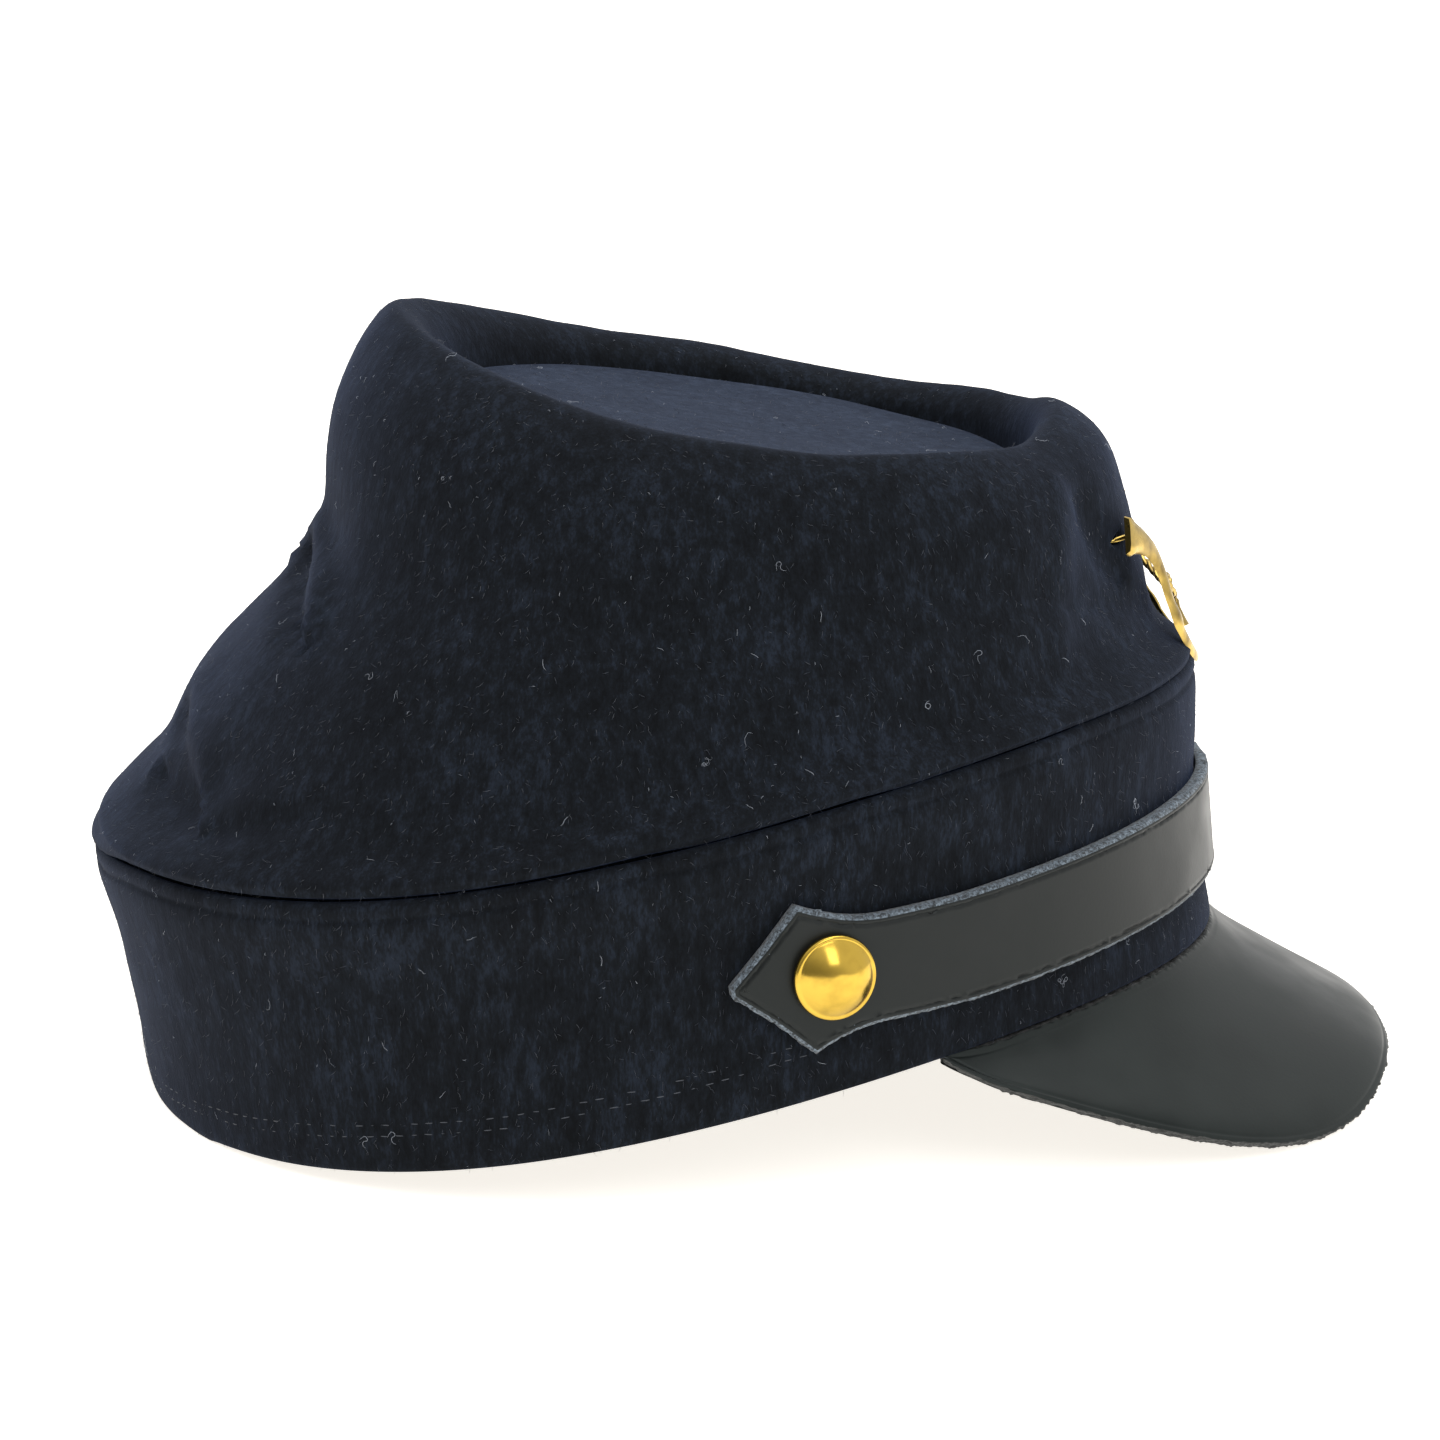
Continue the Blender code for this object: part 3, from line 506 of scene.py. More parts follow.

# A lighter copy of the navy wool for the top: painted light on its upturned face, not a different cloth.
top_wool_painted_lit = wool("top_wool_painted_lit", TOP_PAINTED_LIT_NAVY_DARK, TOP_PAINTED_LIT_NAVY, TOP_PAINTED_LIT_NAVY_WORN, patch_scale=90.0)
top = from_node("crown_top", "wool_top")
top_up = STAND.to_3x3() @ Vector((sin(TOP_SLOPE), 0.0, cos(TOP_SLOPE)))
edit(top)
bpy.ops.mesh.select_all(action="SELECT")
bpy.ops.mesh.dissolve_limited(angle_limit=radians(2))
for way in (top_up, -top_up):
    pick(top, "faces", lambda face: face.normal.dot(way) > TOP_FACING)
    for _ in range(TOP_RINGS):
        bpy.ops.mesh.inset(thickness=TOP_RING_WIDTH)
done()
round_over(top, 2)
top_points = points_of(top)
top_middle = Vector((top_points.max(axis=0) + top_points.min(axis=0)) / 2)
apart = np.linalg.norm(top_points - np.array(top_middle), axis=1)
sink = -TOP_SINK * np.clip(1 - (apart / TOP_SINK_REACH) ** 2, 0.0, 1.0)
sink = sink + TOP_RIPPLE * cloth_noise(top_points, TOP_RIPPLE_SPAN, 5)
set_points(top, top_points + np.array(top_up) * sink[:, None])
dress(top, top_wool_painted_lit, ["crown_top"])


# The peak is one piece of thick black leather, sewn up inside the band and pressed to a curve.
# Its free edge is cut raw, a little ragged, with a crease pressed just inside it.

CUT_RAGGED = 0.34 * MM
CUT_LUMP = 1.3 * MM
CUT_FINE_LUMP = 0.5 * MM
PEAK_SHARP = radians(50)
PEAK_EDGE_HARD = 0.85
PEAK_ROUGHNESS = 0.38
PEAK_CREASE_IN = 1.2 * MM
PEAK_CREASE_DEPTH = 0.14 * MM
PEAK_CREASE_WIDTH = 0.32 * MM
PEAK_EDGE_FINE = 2.4 * MM
PEAK_TUCK = 2.6 * MM
PEAK_TUCK_LENGTH = 14 * MM
PEAK_TUCK_INWARD = 0.5
CUT_FACE_AREA = 60 * MM * MM
LEATHER_BLACK = (0.0050, 0.0066, 0.0062)
LEATHER_WORN = (0.0110, 0.0138, 0.0130)
LEATHER_CUT = (0.004, 0.005, 0.005)
LEATHER_CUT_PALE = (0.018, 0.021, 0.021)


def roughen(tree, shader, pattern, seen, dull):
    """Takes a shader's roughness from one value to another as a pattern goes between two values."""
    ease = tree.nodes.new("ShaderNodeMapRange")
    set_inputs(ease, {"From Min": seen[0], "From Max": seen[1], "To Min": dull[0], "To Max": dull[1]})
    tree.links.new(pattern, ease.inputs["Value"])
    tree.links.new(ease.outputs["Result"], shader.inputs["Roughness"])


def leather(name, base, worn, roughness):
    """Smooth dyed leather: a very fine grain, soft clouds in its colour and dull, handled places."""
    finish = {"Specular IOR Level": 0.24, "Specular Tint": (0.90, 1.0, 0.99, 1.0)}
    hide, tree, shader, place = new_material(name, finish)
    clouds = mottle(tree, place, 70.0, 5.0)
    tint(tree, shader, clouds, [(0.35, base), (0.75, worn)])
    roughen(tree, shader, clouds, (0.3, 0.7), (roughness - 0.06, roughness + 0.08))
    grain = tree.nodes.new("ShaderNodeTexVoronoi")
    grain.inputs["Scale"].default_value = 1500.0
    tree.links.new(place, grain.inputs["Vector"])
    pores = mottle(tree, place, 900.0, 4.0)
    relief(tree, shader, mixed(tree, grain.outputs["Distance"], pores, 0.5), 0.22, 0.06 * MM)
    return hide


def cut_leather(name, dark, pale):
    """The raw cut edge of thick leather: dry, fibrous and paler than its dyed face."""
    edge, tree, shader, place = new_material(name, {"Roughness": 0.85, "Sheen Weight": 0.15})
    fibres = mottle(tree, place, 1700.0, 5.0, 0.75)
    tint(tree, shader, fibres, [(0.42, dark), (0.64, pale)])
    relief(tree, shader, fibres, 0.8, 0.2 * MM)
    return edge


def mark_cut_faces(piece, sharpness, crease):
    """Creases a leather piece's sharp edges and gives the faces between them its second material."""
    edit(piece, "EDGE")
    bpy.ops.mesh.edges_select_sharp(sharpness=sharpness)
    bpy.ops.transform.edge_crease(value=crease)
    done()
    mesh = piece.data
    sharp = {tuple(sorted(edge.vertices)) for edge in mesh.edges if edge.select}
    for face in mesh.polygons:
        sides = [tuple(sorted(key)) for key in face.edge_keys if tuple(sorted(key)) in sharp]
        parallel = any(not set(a) & set(b) for a in sides for b in sides)
        face.material_index = 1 if parallel and face.area < CUT_FACE_AREA else 0


def border_tree(piece):
    """A lookup of the places where a leather piece's faces meet its cut edge."""
    mesh = piece.data
    kinds = [set() for _ in mesh.vertices]
    for face in mesh.polygons:
        for index in face.vertices:
            kinds[index].add(face.material_index)
    places = [vertex.co for vertex, kind in zip(mesh.vertices, kinds) if len(kind) == 2]
    tree = kdtree.KDTree(len(places))
    for index, place in enumerate(places):
        tree.insert(place, index)
    tree.balance()
    return tree, kinds


def torn_by(place, lump, fine_share):
    """How far the raw fibres of a cut stand out at a place, from coarse and fine lumps."""
    return noise.noise(place / lump) + fine_share * noise.noise(place / CUT_FINE_LUMP)


def finish_cut(piece, crease_in, crease_depth, crease_width, ragged):
    """Presses a crease just inside a leather piece's cut edge and roughens the cut."""
    tree, kinds = border_tree(piece)
    mesh = piece.data
    points = points_of(piece)
    moved = points.copy()
    for vertex, kind in zip(mesh.vertices, kinds):
        inside = tree.find(vertex.co)[2]
        move = 0.0
        if 1 in kind:
            move = ragged * torn_by(vertex.co, CUT_LUMP, 0.8)
        else:
            move = -crease_depth * swell(inside - crease_in, crease_width)
        moved[vertex.index] += np.array(vertex.normal) * move
    set_points(piece, moved)


peak_leather = leather("peak_leather", LEATHER_BLACK, LEATHER_WORN, PEAK_ROUGHNESS)
peak_cut = cut_leather("peak_cut_edge", LEATHER_CUT, LEATHER_CUT_PALE)
peak = from_node("peak", "leather_peak")
mark_cut_faces(peak, PEAK_SHARP, PEAK_EDGE_HARD)
round_over(peak, 3)
peak_border = border_tree(peak)[0]
edit(peak)
pick(peak, "faces", lambda face: peak_border.find(face.center)[2] < PEAK_EDGE_FINE)
bpy.ops.mesh.subdivide(number_cuts=1)
done()
finish_cut(peak, PEAK_CREASE_IN, PEAK_CREASE_DEPTH, PEAK_CREASE_WIDTH, CUT_RAGGED)
peak_points = points_of(peak)
peak_back = level(peak_points)[:, 0]
tuck = np.clip(1 - (peak_back - peak_back.min()) / PEAK_TUCK_LENGTH, 0.0, 1.0) ** 2
inward = -np.sign(peak_points[:, 1]) * PEAK_TUCK_INWARD
tuck_way = np.column_stack([0 * tuck, inward, 1 + 0 * tuck])
set_points(peak, peak_points + PEAK_TUCK * tuck[:, None] * tuck_way)
dress(peak, peak_leather, ["peak"])
peak.data.materials.append(peak_cut)


# The chin strap is cut from the same black leather, pointed at both ends, and lies round the
# front of the band under two buttons. Its cut edges are raw and fibrous, and a crease is pressed
# all round, just inside them.

STRAP_WIDTH = 19.0 * MM
STRAP_END_WIDTH = 26.8 * MM
STRAP_MIDDLE = 20.6 * MM
STRAP_POINT = 13.0 * MM
STRAP_SHOULDER = 15.0 * MM
STRAP_BLUNT = 0.06
STRAP_LIFT = 2.7 * MM
STRAP_LIFT_REACH = 45.0 * MM
STRAP_THICK = 2.5 * MM
STRAP_GAP = 0.3 * MM
STRAP_CUT_EVERY = 0.6 * MM
STRAP_RAGGED = 0.60 * MM
STRAP_LUMP = 1.4 * MM
STRAP_ROUGHNESS = 0.40
STRAP_TORN_FROM = 0.2 * MM
STRAP_BACK_SMOOTH = 0.1 * MM
STRAP_EDGE_HEIGHTS = (0.9, 1.5, 1.9)
STRAP_STATIONS = 240
STRAP_SMOOTHING = ((-2.0, 0.0), (2.0, 0.0), (0.0, -2 * MM), (0.0, 2 * MM))
STRAP_CUT = (0.014, 0.018, 0.022)
STRAP_CUT_PALE = (0.190, 0.240, 0.290)
STRAP_BLACK = (0.0052, 0.0056, 0.0058)
STRAP_WORN = (0.0115, 0.0120, 0.0122)

# The rings pressed into the strap's face from its cut edge inwards: how far in from the ring
# before, and the rise to it, in mm. The first is the torn corner and the last three the crease.
STRAP_RINGS = [(0.60, 0.46), (0.30, 0.09), (0.22, -0.02), (0.16, -0.24), (0.16, 0.24), (0.8, 0.0)]


def strap_half(from_tip):
    """Half the strap's width at a distance from its point."""
    if from_tip < STRAP_POINT:
        return STRAP_END_WIDTH / 2 * max(from_tip / STRAP_POINT, STRAP_BLUNT)
    ease = min((from_tip - STRAP_POINT) / STRAP_SHOULDER, 1.0)
    return STRAP_WIDTH / 2 + (STRAP_END_WIDTH - STRAP_WIDTH) / 2 * (1 - ease) ** 2


def strap_centre(from_tip):
    """The height of the strap's middle over the hem at a distance from its point."""
    share = max(1 - from_tip / STRAP_LIFT_REACH, 0.0)
    return STRAP_MIDDLE + STRAP_LIFT * share * share * (3 - 2 * share)


def face_out(piece):
    """Turns all faces of a closed piece outwards."""
    edit(piece)
    bpy.ops.mesh.select_all(action="SELECT")
    bpy.ops.mesh.normals_make_consistent(inside=False)
    done()


strap_cad = level(points_of(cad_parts["chin_strap"]))
strap_tip = np.sort(turns_of(strap_cad))[-4:].mean()
strap_turns = np.linspace(0.0, strap_tip, STRAP_STATIONS)
strap_line = np.array([on_skin(smooth_band, turn, STRAP_MIDDLE)[0] for turn in strap_turns])
strap_run = np.append(0.0, np.cumsum(np.linalg.norm(np.diff(strap_line, axis=0), axis=1)))
strap_reach = strap_run[-1]


def on_band(run, height, out):
    """Where a place on the flat strap comes to lie round the band."""
    turn = float(np.interp(abs(run), strap_run, strap_turns)) * (1 if run > 0 else -1)
    place, facing = on_skin(smooth_band, turn, height)
    for aside, higher in STRAP_SMOOTHING:
        facing = facing + on_skin(smooth_band, turn + aside, height + higher)[1]
    return place + facing.normalized() * (STRAP_GAP + STRAP_THICK + out)


strap_leather = leather("strap_leather", STRAP_BLACK, STRAP_WORN, STRAP_ROUGHNESS)
strap_cut = cut_leather("strap_cut_edge", STRAP_CUT, STRAP_CUT_PALE)
tips = [0.0, STRAP_POINT * 0.5, STRAP_POINT]
tips += [STRAP_POINT + STRAP_SHOULDER * step / 6 for step in range(1, 7)]
tips += list(np.linspace(STRAP_POINT + STRAP_SHOULDER, strap_reach, 8)[1:])
upper = [(strap_reach - tip, strap_centre(tip) + strap_half(tip)) for tip in tips]
lower = [(strap_reach - tip, strap_centre(tip) - strap_half(tip)) for tip in tips]
outline = upper + [(-run, height) for run, height in reversed(upper[:-1])]
outline += [(-run, height) for run, height in lower] + list(reversed(lower[:-1]))
corners = [(run, height, -STRAP_THICK) for run, height in outline]
flat_strap = bpy.data.meshes.new("leather_chin_strap")
flat_strap.from_pydata(corners, [], [tuple(range(len(outline)))])
strap = add_object("leather_chin_strap", flat_strap)
edit(strap)
bpy.ops.mesh.select_all(action="SELECT")
bpy.ops.mesh.normals_make_consistent(inside=False)
height = 0.0
for edge_height in STRAP_EDGE_HEIGHTS:
    rise = (edge_height - height) * MM
    bpy.ops.mesh.extrude_region_move(TRANSFORM_OT_translate={"value": (0, 0, rise)})
    height = edge_height
for inwards, rise in STRAP_RINGS:
    bpy.ops.mesh.inset(thickness=inwards * MM, use_even_offset=True)
    bpy.ops.transform.translate(value=(0, 0, rise * MM))
for cut in np.arange(-strap_reach + STRAP_CUT_EVERY, strap_reach, STRAP_CUT_EVERY):
    bpy.ops.mesh.select_all(action="SELECT")
    bpy.ops.mesh.bisect(plane_co=(float(cut), 0, 0), plane_no=(1, 0, 0))
done()
face_out(strap)
for face in strap.data.polygons:
    torn = face.center.z < -STRAP_TORN_FROM and face.normal.z > -0.5
    face.material_index = 1 if torn else 0
for vertex in strap.data.vertices:
    run, height, out = vertex.co
    if -STRAP_THICK + STRAP_BACK_SMOOTH < out < -STRAP_TORN_FROM:
        moved = vertex.co + vertex.normal * STRAP_RAGGED * torn_by(vertex.co, STRAP_LUMP, 0.9)
        run, height, out = moved
    vertex.co = on_band(run, height, out)
dress(strap, strap_leather, ["chin_strap"])
strap.data.materials.append(strap_cut)


# Each side button is a hollow brass dome rolled over a flat back, polished, with a post through
# strap and band and a small washer inside the band that holds it.

BUTTON_SIDES = 48
BUTTON_ROUGHNESS = 0.13
BUTTON_DENTS = 0.25
BRASS = (0.58, 0.385, 0.062)
BRASS_WORN = (0.42, 0.270, 0.042)

# Rings of the button from the washer inside the band out to the crown of the dome: radius, and
# height above the strap, in mm.
BUTTON_RINGS = [
    (3.4, -6.3), (3.5, -6.1), (3.5, -5.8), (1.5, -5.6), (1.5, 0.0), (6.9, 0.1), (7.35, 0.3),
    (7.6, 0.8), (7.55, 1.35), (7.25, 1.75), (6.95, 1.8), (6.75, 1.72), (6.5, 2.0), (5.6, 2.85),
    (4.2, 3.75), (2.6, 4.4), (1.2, 4.72),
]


def brass(name, bright, worn, roughness, dents):
    """Polished brass with faint tarnish and a hand-worn unevenness."""
    metal, tree, shader, place = new_material(name, {"Metallic": 1.0})
    tarnish = mottle(tree, place, 260.0, 6.0)
    tint(tree, shader, tarnish, [(0.40, bright), (0.75, worn)])
    roughen(tree, shader, tarnish, (0.35, 0.70), (roughness, roughness + 0.14))
    relief(tree, shader, mottle(tree, place, 420.0, 3.0), dents, 0.05 * MM)
    return metal


def turned_piece(name, rings, sides):
    """A closed turned shape: a disc extruded ring by ring up its axis, at the origin."""
    radius, height = rings[0]
    bpy.ops.object.select_all(action="DESELECT")
    bpy.ops.mesh.primitive_circle_add(
        vertices=sides, radius=radius * MM, fill_type="NGON", location=(0, 0, height * MM)
    )
    piece = bpy.context.active_object
    piece.name = piece.data.name = name
    bpy.ops.object.transform_apply()
    bpy.ops.object.mode_set(mode="EDIT")
    bpy.ops.mesh.select_all(action="SELECT")
    for wider, higher in rings[1:]:
        bpy.ops.mesh.extrude_region_move(TRANSFORM_OT_translate={"value": (0, 0, (higher - height) * MM)})
        bpy.ops.transform.resize(
            value=(wider / radius, wider / radius, 1.0), center_override=(0, 0, higher * MM)
        )
        radius, height = wider, higher
    done()
    face_out(piece)
    return piece


def put(piece, place, way):
    """Sets a piece's own +Z along a direction at a place, and applies that to its mesh."""
    turn = way.to_track_quat("Z", "Y").to_matrix().to_4x4()
    piece.data.transform(Matrix.Translation(place) @ turn)
    piece.data.update()


polished_brass = brass("polished_brass", BRASS, BRASS_WORN, BUTTON_ROUGHNESS, BUTTON_DENTS)
first_button = turned_piece("brass_button", BUTTON_RINGS, BUTTON_SIDES)
for side, button_node in (("right", "button_right"), ("left", "button_left")):
    middle, way = post_line(button_node)
    button_points = points_of(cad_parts[button_node])
    reach = ((button_points - np.array(middle)) @ np.array(way)).max()
    button = add_object(f"brass_button_{side}", first_button.data.copy())
    centre = Vector(button_points.mean(axis=0))
    on_axis = centre - way * (centre - middle).dot(way)
    put(button, on_axis + way * (reach - BUTTON_RINGS[-1][1] * MM), way)
    round_over(button, 1)
    dress(button, polished_brass, [button_node])
bpy.data.objects.remove(first_button)


# The cap badge is a hunting horn hung from a knotted cord, stamped in brass. It is bent to the
# front of the crown, where two soldered pins hold it a little way off the cloth.

BADGE_LEAN = radians(9.5)
BADGE_FOOT = (104.7 * MM, 46.0 * MM)
BADGE_BEND_RADIUS = 42 * MM
BADGE_HALF_WIDTH = 24.5 * MM
BADGE_HEIGHT = 36 * MM
BADGE_BRASS = (0.54, 0.38, 0.10)
BADGE_BRASS_WORN = (0.16, 0.11, 0.04)
BADGE_ROUGHNESS = 0.26
BADGE_DENTS = 0.9
HORN_THICKNESS = 1.2 * MM
HORN_BELL_WIDTH = 7.4 * MM
HORN_FULL_THICK = 0.55
RELIEF_SIDES = 12
CORD_RADIUS = 0.50 * MM
CORD_TWIST = 5.5 * MM
CORD_PLY_OUT = 0.75
CORD_SUNK = 0.6
CORD_RISE = 1.6
TASSEL_SUNK = 0.4 * MM
TASSEL_FLATNESS = 0.5
PIN_ROOT = 0.5 * MM
PIN_PLACES = [(-19.4 * MM, 32.2 * MM), (20.6 * MM, 22.6 * MM)]
PIN_RINGS = [(0.5, 0.0), (0.5, 10.5), (0.2, 11.0)]

# The horn's width along its length, as a share of the bell's, with its three raised bands.
HORN_WIDTHS = [
    (0.000, 0.94), (0.006, 1.02), (0.018, 1.00), (0.024, 0.88), (0.050, 0.74), (0.090, 0.62),
    (0.170, 0.50), (0.262, 0.45), (0.268, 0.54), (0.288, 0.57), (0.308, 0.54), (0.314, 0.43),
    (0.420, 0.39), (0.520, 0.35), (0.620, 0.31), (0.700, 0.28), (0.706, 0.36), (0.724, 0.39),
    (0.742, 0.36), (0.748, 0.27), (0.860, 0.21), (0.945, 0.17), (0.962, 0.26), (0.985, 0.33),
    (1.000, 0.34),
]

# Places along the horn from its bell to its mouthpiece, sideways and up, in mm.
HORN_PLACES = [
    (-24.0, 33.2), (-19.2, 30.6), (-15.4, 27.4), (-13.4, 22.8), (-13.2, 17.0), (-11.0, 9.5), (-4.5, 3.9),
    (4.5, 2.9), (13.0, 6.2), (18.6, 13.0), (20.6, 21.0), (19.3, 28.5), (16.6, 34.0),
]

# The cord's places on the badge, sideways and up, as shares of its half width and its height.
CORD_LINE = [
    (-0.56, 0.62), (-0.38, 0.50), (-0.18, 0.45), (0.0, 0.52), (0.20, 0.44), (0.52, 0.48), (0.84, 0.61),
]
TASSEL_LINE = [(0.03, 0.50), (0.14, 0.40), (0.17, 0.27)]

# A tassel's radius in mm at points of its rounded line, from the cord past its knot to its foot.
TASSEL_RADII = [(0, 0.6), (7, 0.7), (8, 1.2), (10, 0.9), (16, 2.3)]


def on_badge(sideways, up, out):
    """Where a place on the flat badge comes to lie once the badge is bent to the crown."""
    bend = sideways / BADGE_BEND_RADIUS
    ahead = out * cos(bend) - BADGE_BEND_RADIUS * (1 - cos(bend))
    forward = BADGE_FOOT[0] - sin(BADGE_LEAN) * up + cos(BADGE_LEAN) * ahead
    height = BADGE_FOOT[1] + cos(BADGE_LEAN) * up + sin(BADGE_LEAN) * ahead
    return STAND @ Vector((forward, (BADGE_BEND_RADIUS + out) * sin(bend), height))


def rounded(places, per_span):
    """A smooth line through places, several for each span."""
    line = []
    for i in range(len(places) - 1):
        a, b = Vector(places[max(i - 1, 0)]), Vector(places[i])
        c, d = Vector(places[i + 1]), Vector(places[min(i + 2, len(places) - 1)])
        for k in range(per_span):
            t = k / per_span
            curve = (c - a) * t + (2 * a - 5 * b + 4 * c - d) * t**2 + (3 * b - a - 3 * c + d) * t**3
            line.append(b + curve / 2)
    return line + [Vector(places[-1])]


def pipe(name, places, radii, sides):
    """A round tube along places on the flat badge, made a mesh."""
    curve = bpy.data.curves.new(name, "CURVE")
    curve.dimensions = "3D"
    curve.bevel_depth = 1.0
    curve.bevel_resolution = sides // 2 - 2
    curve.use_fill_caps = True
    line = curve.splines.new("POLY")
    line.points.add(len(places) - 1)
    for point, place, radius in zip(line.points, places, radii):
        point.co = (*place, 1.0)
        point.radius = radius
    only(add_object(name, curve))
    bpy.ops.object.convert(target="MESH")
    return bpy.context.active_object


def onto_badge(piece, back=None):
    """Cuts a relief's back off flat, if asked, and bends the piece to the front of the crown."""
    if back is not None:
        edit(piece)
        bpy.ops.mesh.select_all(action="SELECT")
        bpy.ops.mesh.bisect(plane_co=(0, 0, back), plane_no=(0, 0, 1), clear_inner=True, use_fill=True)
        done()
    for vertex in piece.data.vertices:
        vertex.co = on_badge(*vertex.co)
    face_out(piece)


horn_line = rounded([(across * MM, up * MM, 0.0) for across, up in HORN_PLACES], 8)
horn_run = [0.0]
for before, after in zip(horn_line, horn_line[1:]):
    horn_run.append(horn_run[-1] + (after - before).length)
shares = np.interp(np.array(horn_run) / horn_run[-1], *zip(*HORN_WIDTHS))
horn_radii = [float(share) * HORN_BELL_WIDTH / 2 for share in shares]
horn = pipe("brass_horn_badge", horn_line, horn_radii, RELIEF_SIDES)
flatten = Matrix.Diagonal((1.0, 1.0, HORN_THICKNESS / (HORN_FULL_THICK * HORN_BELL_WIDTH / 2), 1.0))
horn.data.transform(flatten)
horn_points = points_of(horn)
horn_points[:, 2] = np.minimum(horn_points[:, 2], HORN_THICKNESS)
set_points(horn, horn_points)
onto_badge(horn, back=0.0)
badge_brass = brass("badge_brass", BADGE_BRASS, BADGE_BRASS_WORN, BADGE_ROUGHNESS, BADGE_DENTS)
dress(horn, badge_brass, ["badge"])

cord_lie = []
for x, y in CORD_LINE:
    cord_lie.append((x * BADGE_HALF_WIDTH, y * BADGE_HEIGHT, (CORD_RISE * abs(x) - CORD_SUNK) * MM))
cord_places = rounded(cord_lie, 12)
for ply in (0, 1):
    run, ply_line = 0.0, []
    for i, place in enumerate(cord_places):
        run += (place - cord_places[i - 1]).length if i else 0.0
        twist = 2 * pi * run / CORD_TWIST + ply * pi
        offset = Vector((0.0, cos(twist), sin(twist))) * CORD_RADIUS * CORD_PLY_OUT
        ply_line.append(place + offset)
    cord = pipe(f"brass_badge_cord_{ply + 1}", ply_line, [CORD_RADIUS] * len(ply_line), 8)
    onto_badge(cord)
    dress(cord, badge_brass, [])

for side, hand in (("right", -1), ("left", 1)):
    hang = [(hand * x * BADGE_HALF_WIDTH, y * BADGE_HEIGHT, -TASSEL_SUNK) for x, y in TASSEL_LINE]
    places = rounded(hang, 8)
    radii = [float(np.interp(i, *zip(*TASSEL_RADII))) * MM for i in range(len(places))]
    tassel = pipe(f"brass_badge_tassel_{side}", places, radii, RELIEF_SIDES)
    tassel.data.transform(Matrix.Diagonal((1.0, 1.0, TASSEL_FLATNESS, 1.0)))
    onto_badge(tassel)
    dress(tassel, badge_brass, [])

pin_way = (STAND.to_3x3() @ Vector((-cos(BADGE_LEAN), 0.0, -sin(BADGE_LEAN)))).normalized()
for side, (sideways, up) in zip(("right", "left"), PIN_PLACES):
    pin = turned_piece(f"brass_badge_pin_{side}", PIN_RINGS, RELIEF_SIDES)
    put(pin, on_badge(sideways, up, PIN_ROOT), pin_way)
    dress(pin, badge_brass, [])


# Two rows of stitches hold the turned-in hem. The thread is fine, a little paler than the wool,
# and each stitch is pulled down into the nap.

STITCH_PITCH = 2.8 * MM
STITCH_LENGTH = 1.9 * MM
STITCH_ROWS_APART = 2.0 * MM
STITCH_FROM = 74
THREAD_RADIUS = 0.10 * MM
STITCH_ENDS_SUNK = 0.14 * MM
THREAD = (0.045, 0.052, 0.066)

# Heights of the lower row over the hem, for angles round the cap from the front, in mm.
STITCH_HEIGHTS = [(0, 9.0), (60, 9.5), (79, 8.6), (90, 6.9), (109, 4.7), (140, 3.6), (180, 3.8)]


def laid_along(place, normal, way):
    """The matrix that sets a shape's own X along a direction and its Z out of the surface at a place."""
    along = (way - normal * way.dot(normal)).normalized()
    across = normal.cross(along)
    turn = Matrix((along, across, normal)).transposed().to_4x4()
    return Matrix.Translation(place) @ turn


def many(name, shapes, placed):
    """One mesh with a copy of a shape at each of the given matrices."""
    corners, faces, start = [], [], 0
    for kind, matrix in placed:
        shape = shapes[kind].data
        flat = points_of(shapes[kind])
        turned = flat @ np.array(matrix.to_3x3()).T + np.array(matrix.translation)
        corners.append(turned)
        faces.extend(tuple(start + i for i in face.vertices) for face in shape.polygons)
        start += len(flat)
    mesh = bpy.data.meshes.new(name)
    mesh.from_pydata(np.concatenate(corners).tolist(), [], faces)
    mesh.update()
    return add_object(name, mesh)


def thread_material(name, colour):
    """Plied thread: soft and matt, with light and dark along its twist."""
    thread, tree, shader, place = new_material(name, {"Roughness": 0.8, "Sheen Weight": 0.2})
    dark, light = (tuple(part * share for part in colour) for share in (0.5, 1.5))
    tint(tree, shader, mottle(tree, place, 3500.0), [(0.0, dark), (1.0, light)])
    return thread


bpy.ops.object.select_all(action="DESELECT")
bpy.ops.mesh.primitive_cube_add(size=1.0)
stitch = bpy.context.active_object
stitch.data.transform(Matrix.Diagonal((STITCH_LENGTH, 2 * THREAD_RADIUS, 2 * THREAD_RADIUS, 1.0)))
edit(stitch, "EDGE")
pick(stitch, "edges", lambda middle: abs(middle.x) < 0.1 * MM)
bpy.ops.mesh.subdivide_edgering(number_cuts=1)
done()
for vertex in stitch.data.vertices:
    ends = abs(vertex.co.x) / (STITCH_LENGTH / 2)
    vertex.co.z -= STITCH_ENDS_SUNK * ends
round_over(stitch, 1)

band_tree = skin_tree(band)
stitches = []
rng = random.Random(11)
for row in (0, 1):
    turn = -180.0
    while turn < 180.0:
        height = float(np.interp(abs(turn), *zip(*STITCH_HEIGHTS))) * MM + row * STITCH_ROWS_APART
        place, normal = on_skin(band_tree, turn, height)
        ahead, _ = on_skin(band_tree, turn + 1.0, height)
        lean = (ahead - place).normalized() + Vector((0, 0, rng.uniform(-0.08, 0.08)))
        sunk = rng.uniform(-0.05, 0.05) * MM
        if abs(turn) > STITCH_FROM:
            stitches.append((0, laid_along(place + normal * sunk, normal, lean)))
        turn += STITCH_PITCH / (ahead - place).length * rng.uniform(0.94, 1.06)
hem_stitches = many("hem_stitches", [stitch], stitches)
dress(hem_stitches, thread_material("hem_thread", THREAD), [])
bpy.data.objects.remove(stitch)


# The wool has a short raised nap that lies downwards, and loose pale fibres have settled on it:
# specks, short commas, and a few long curls.

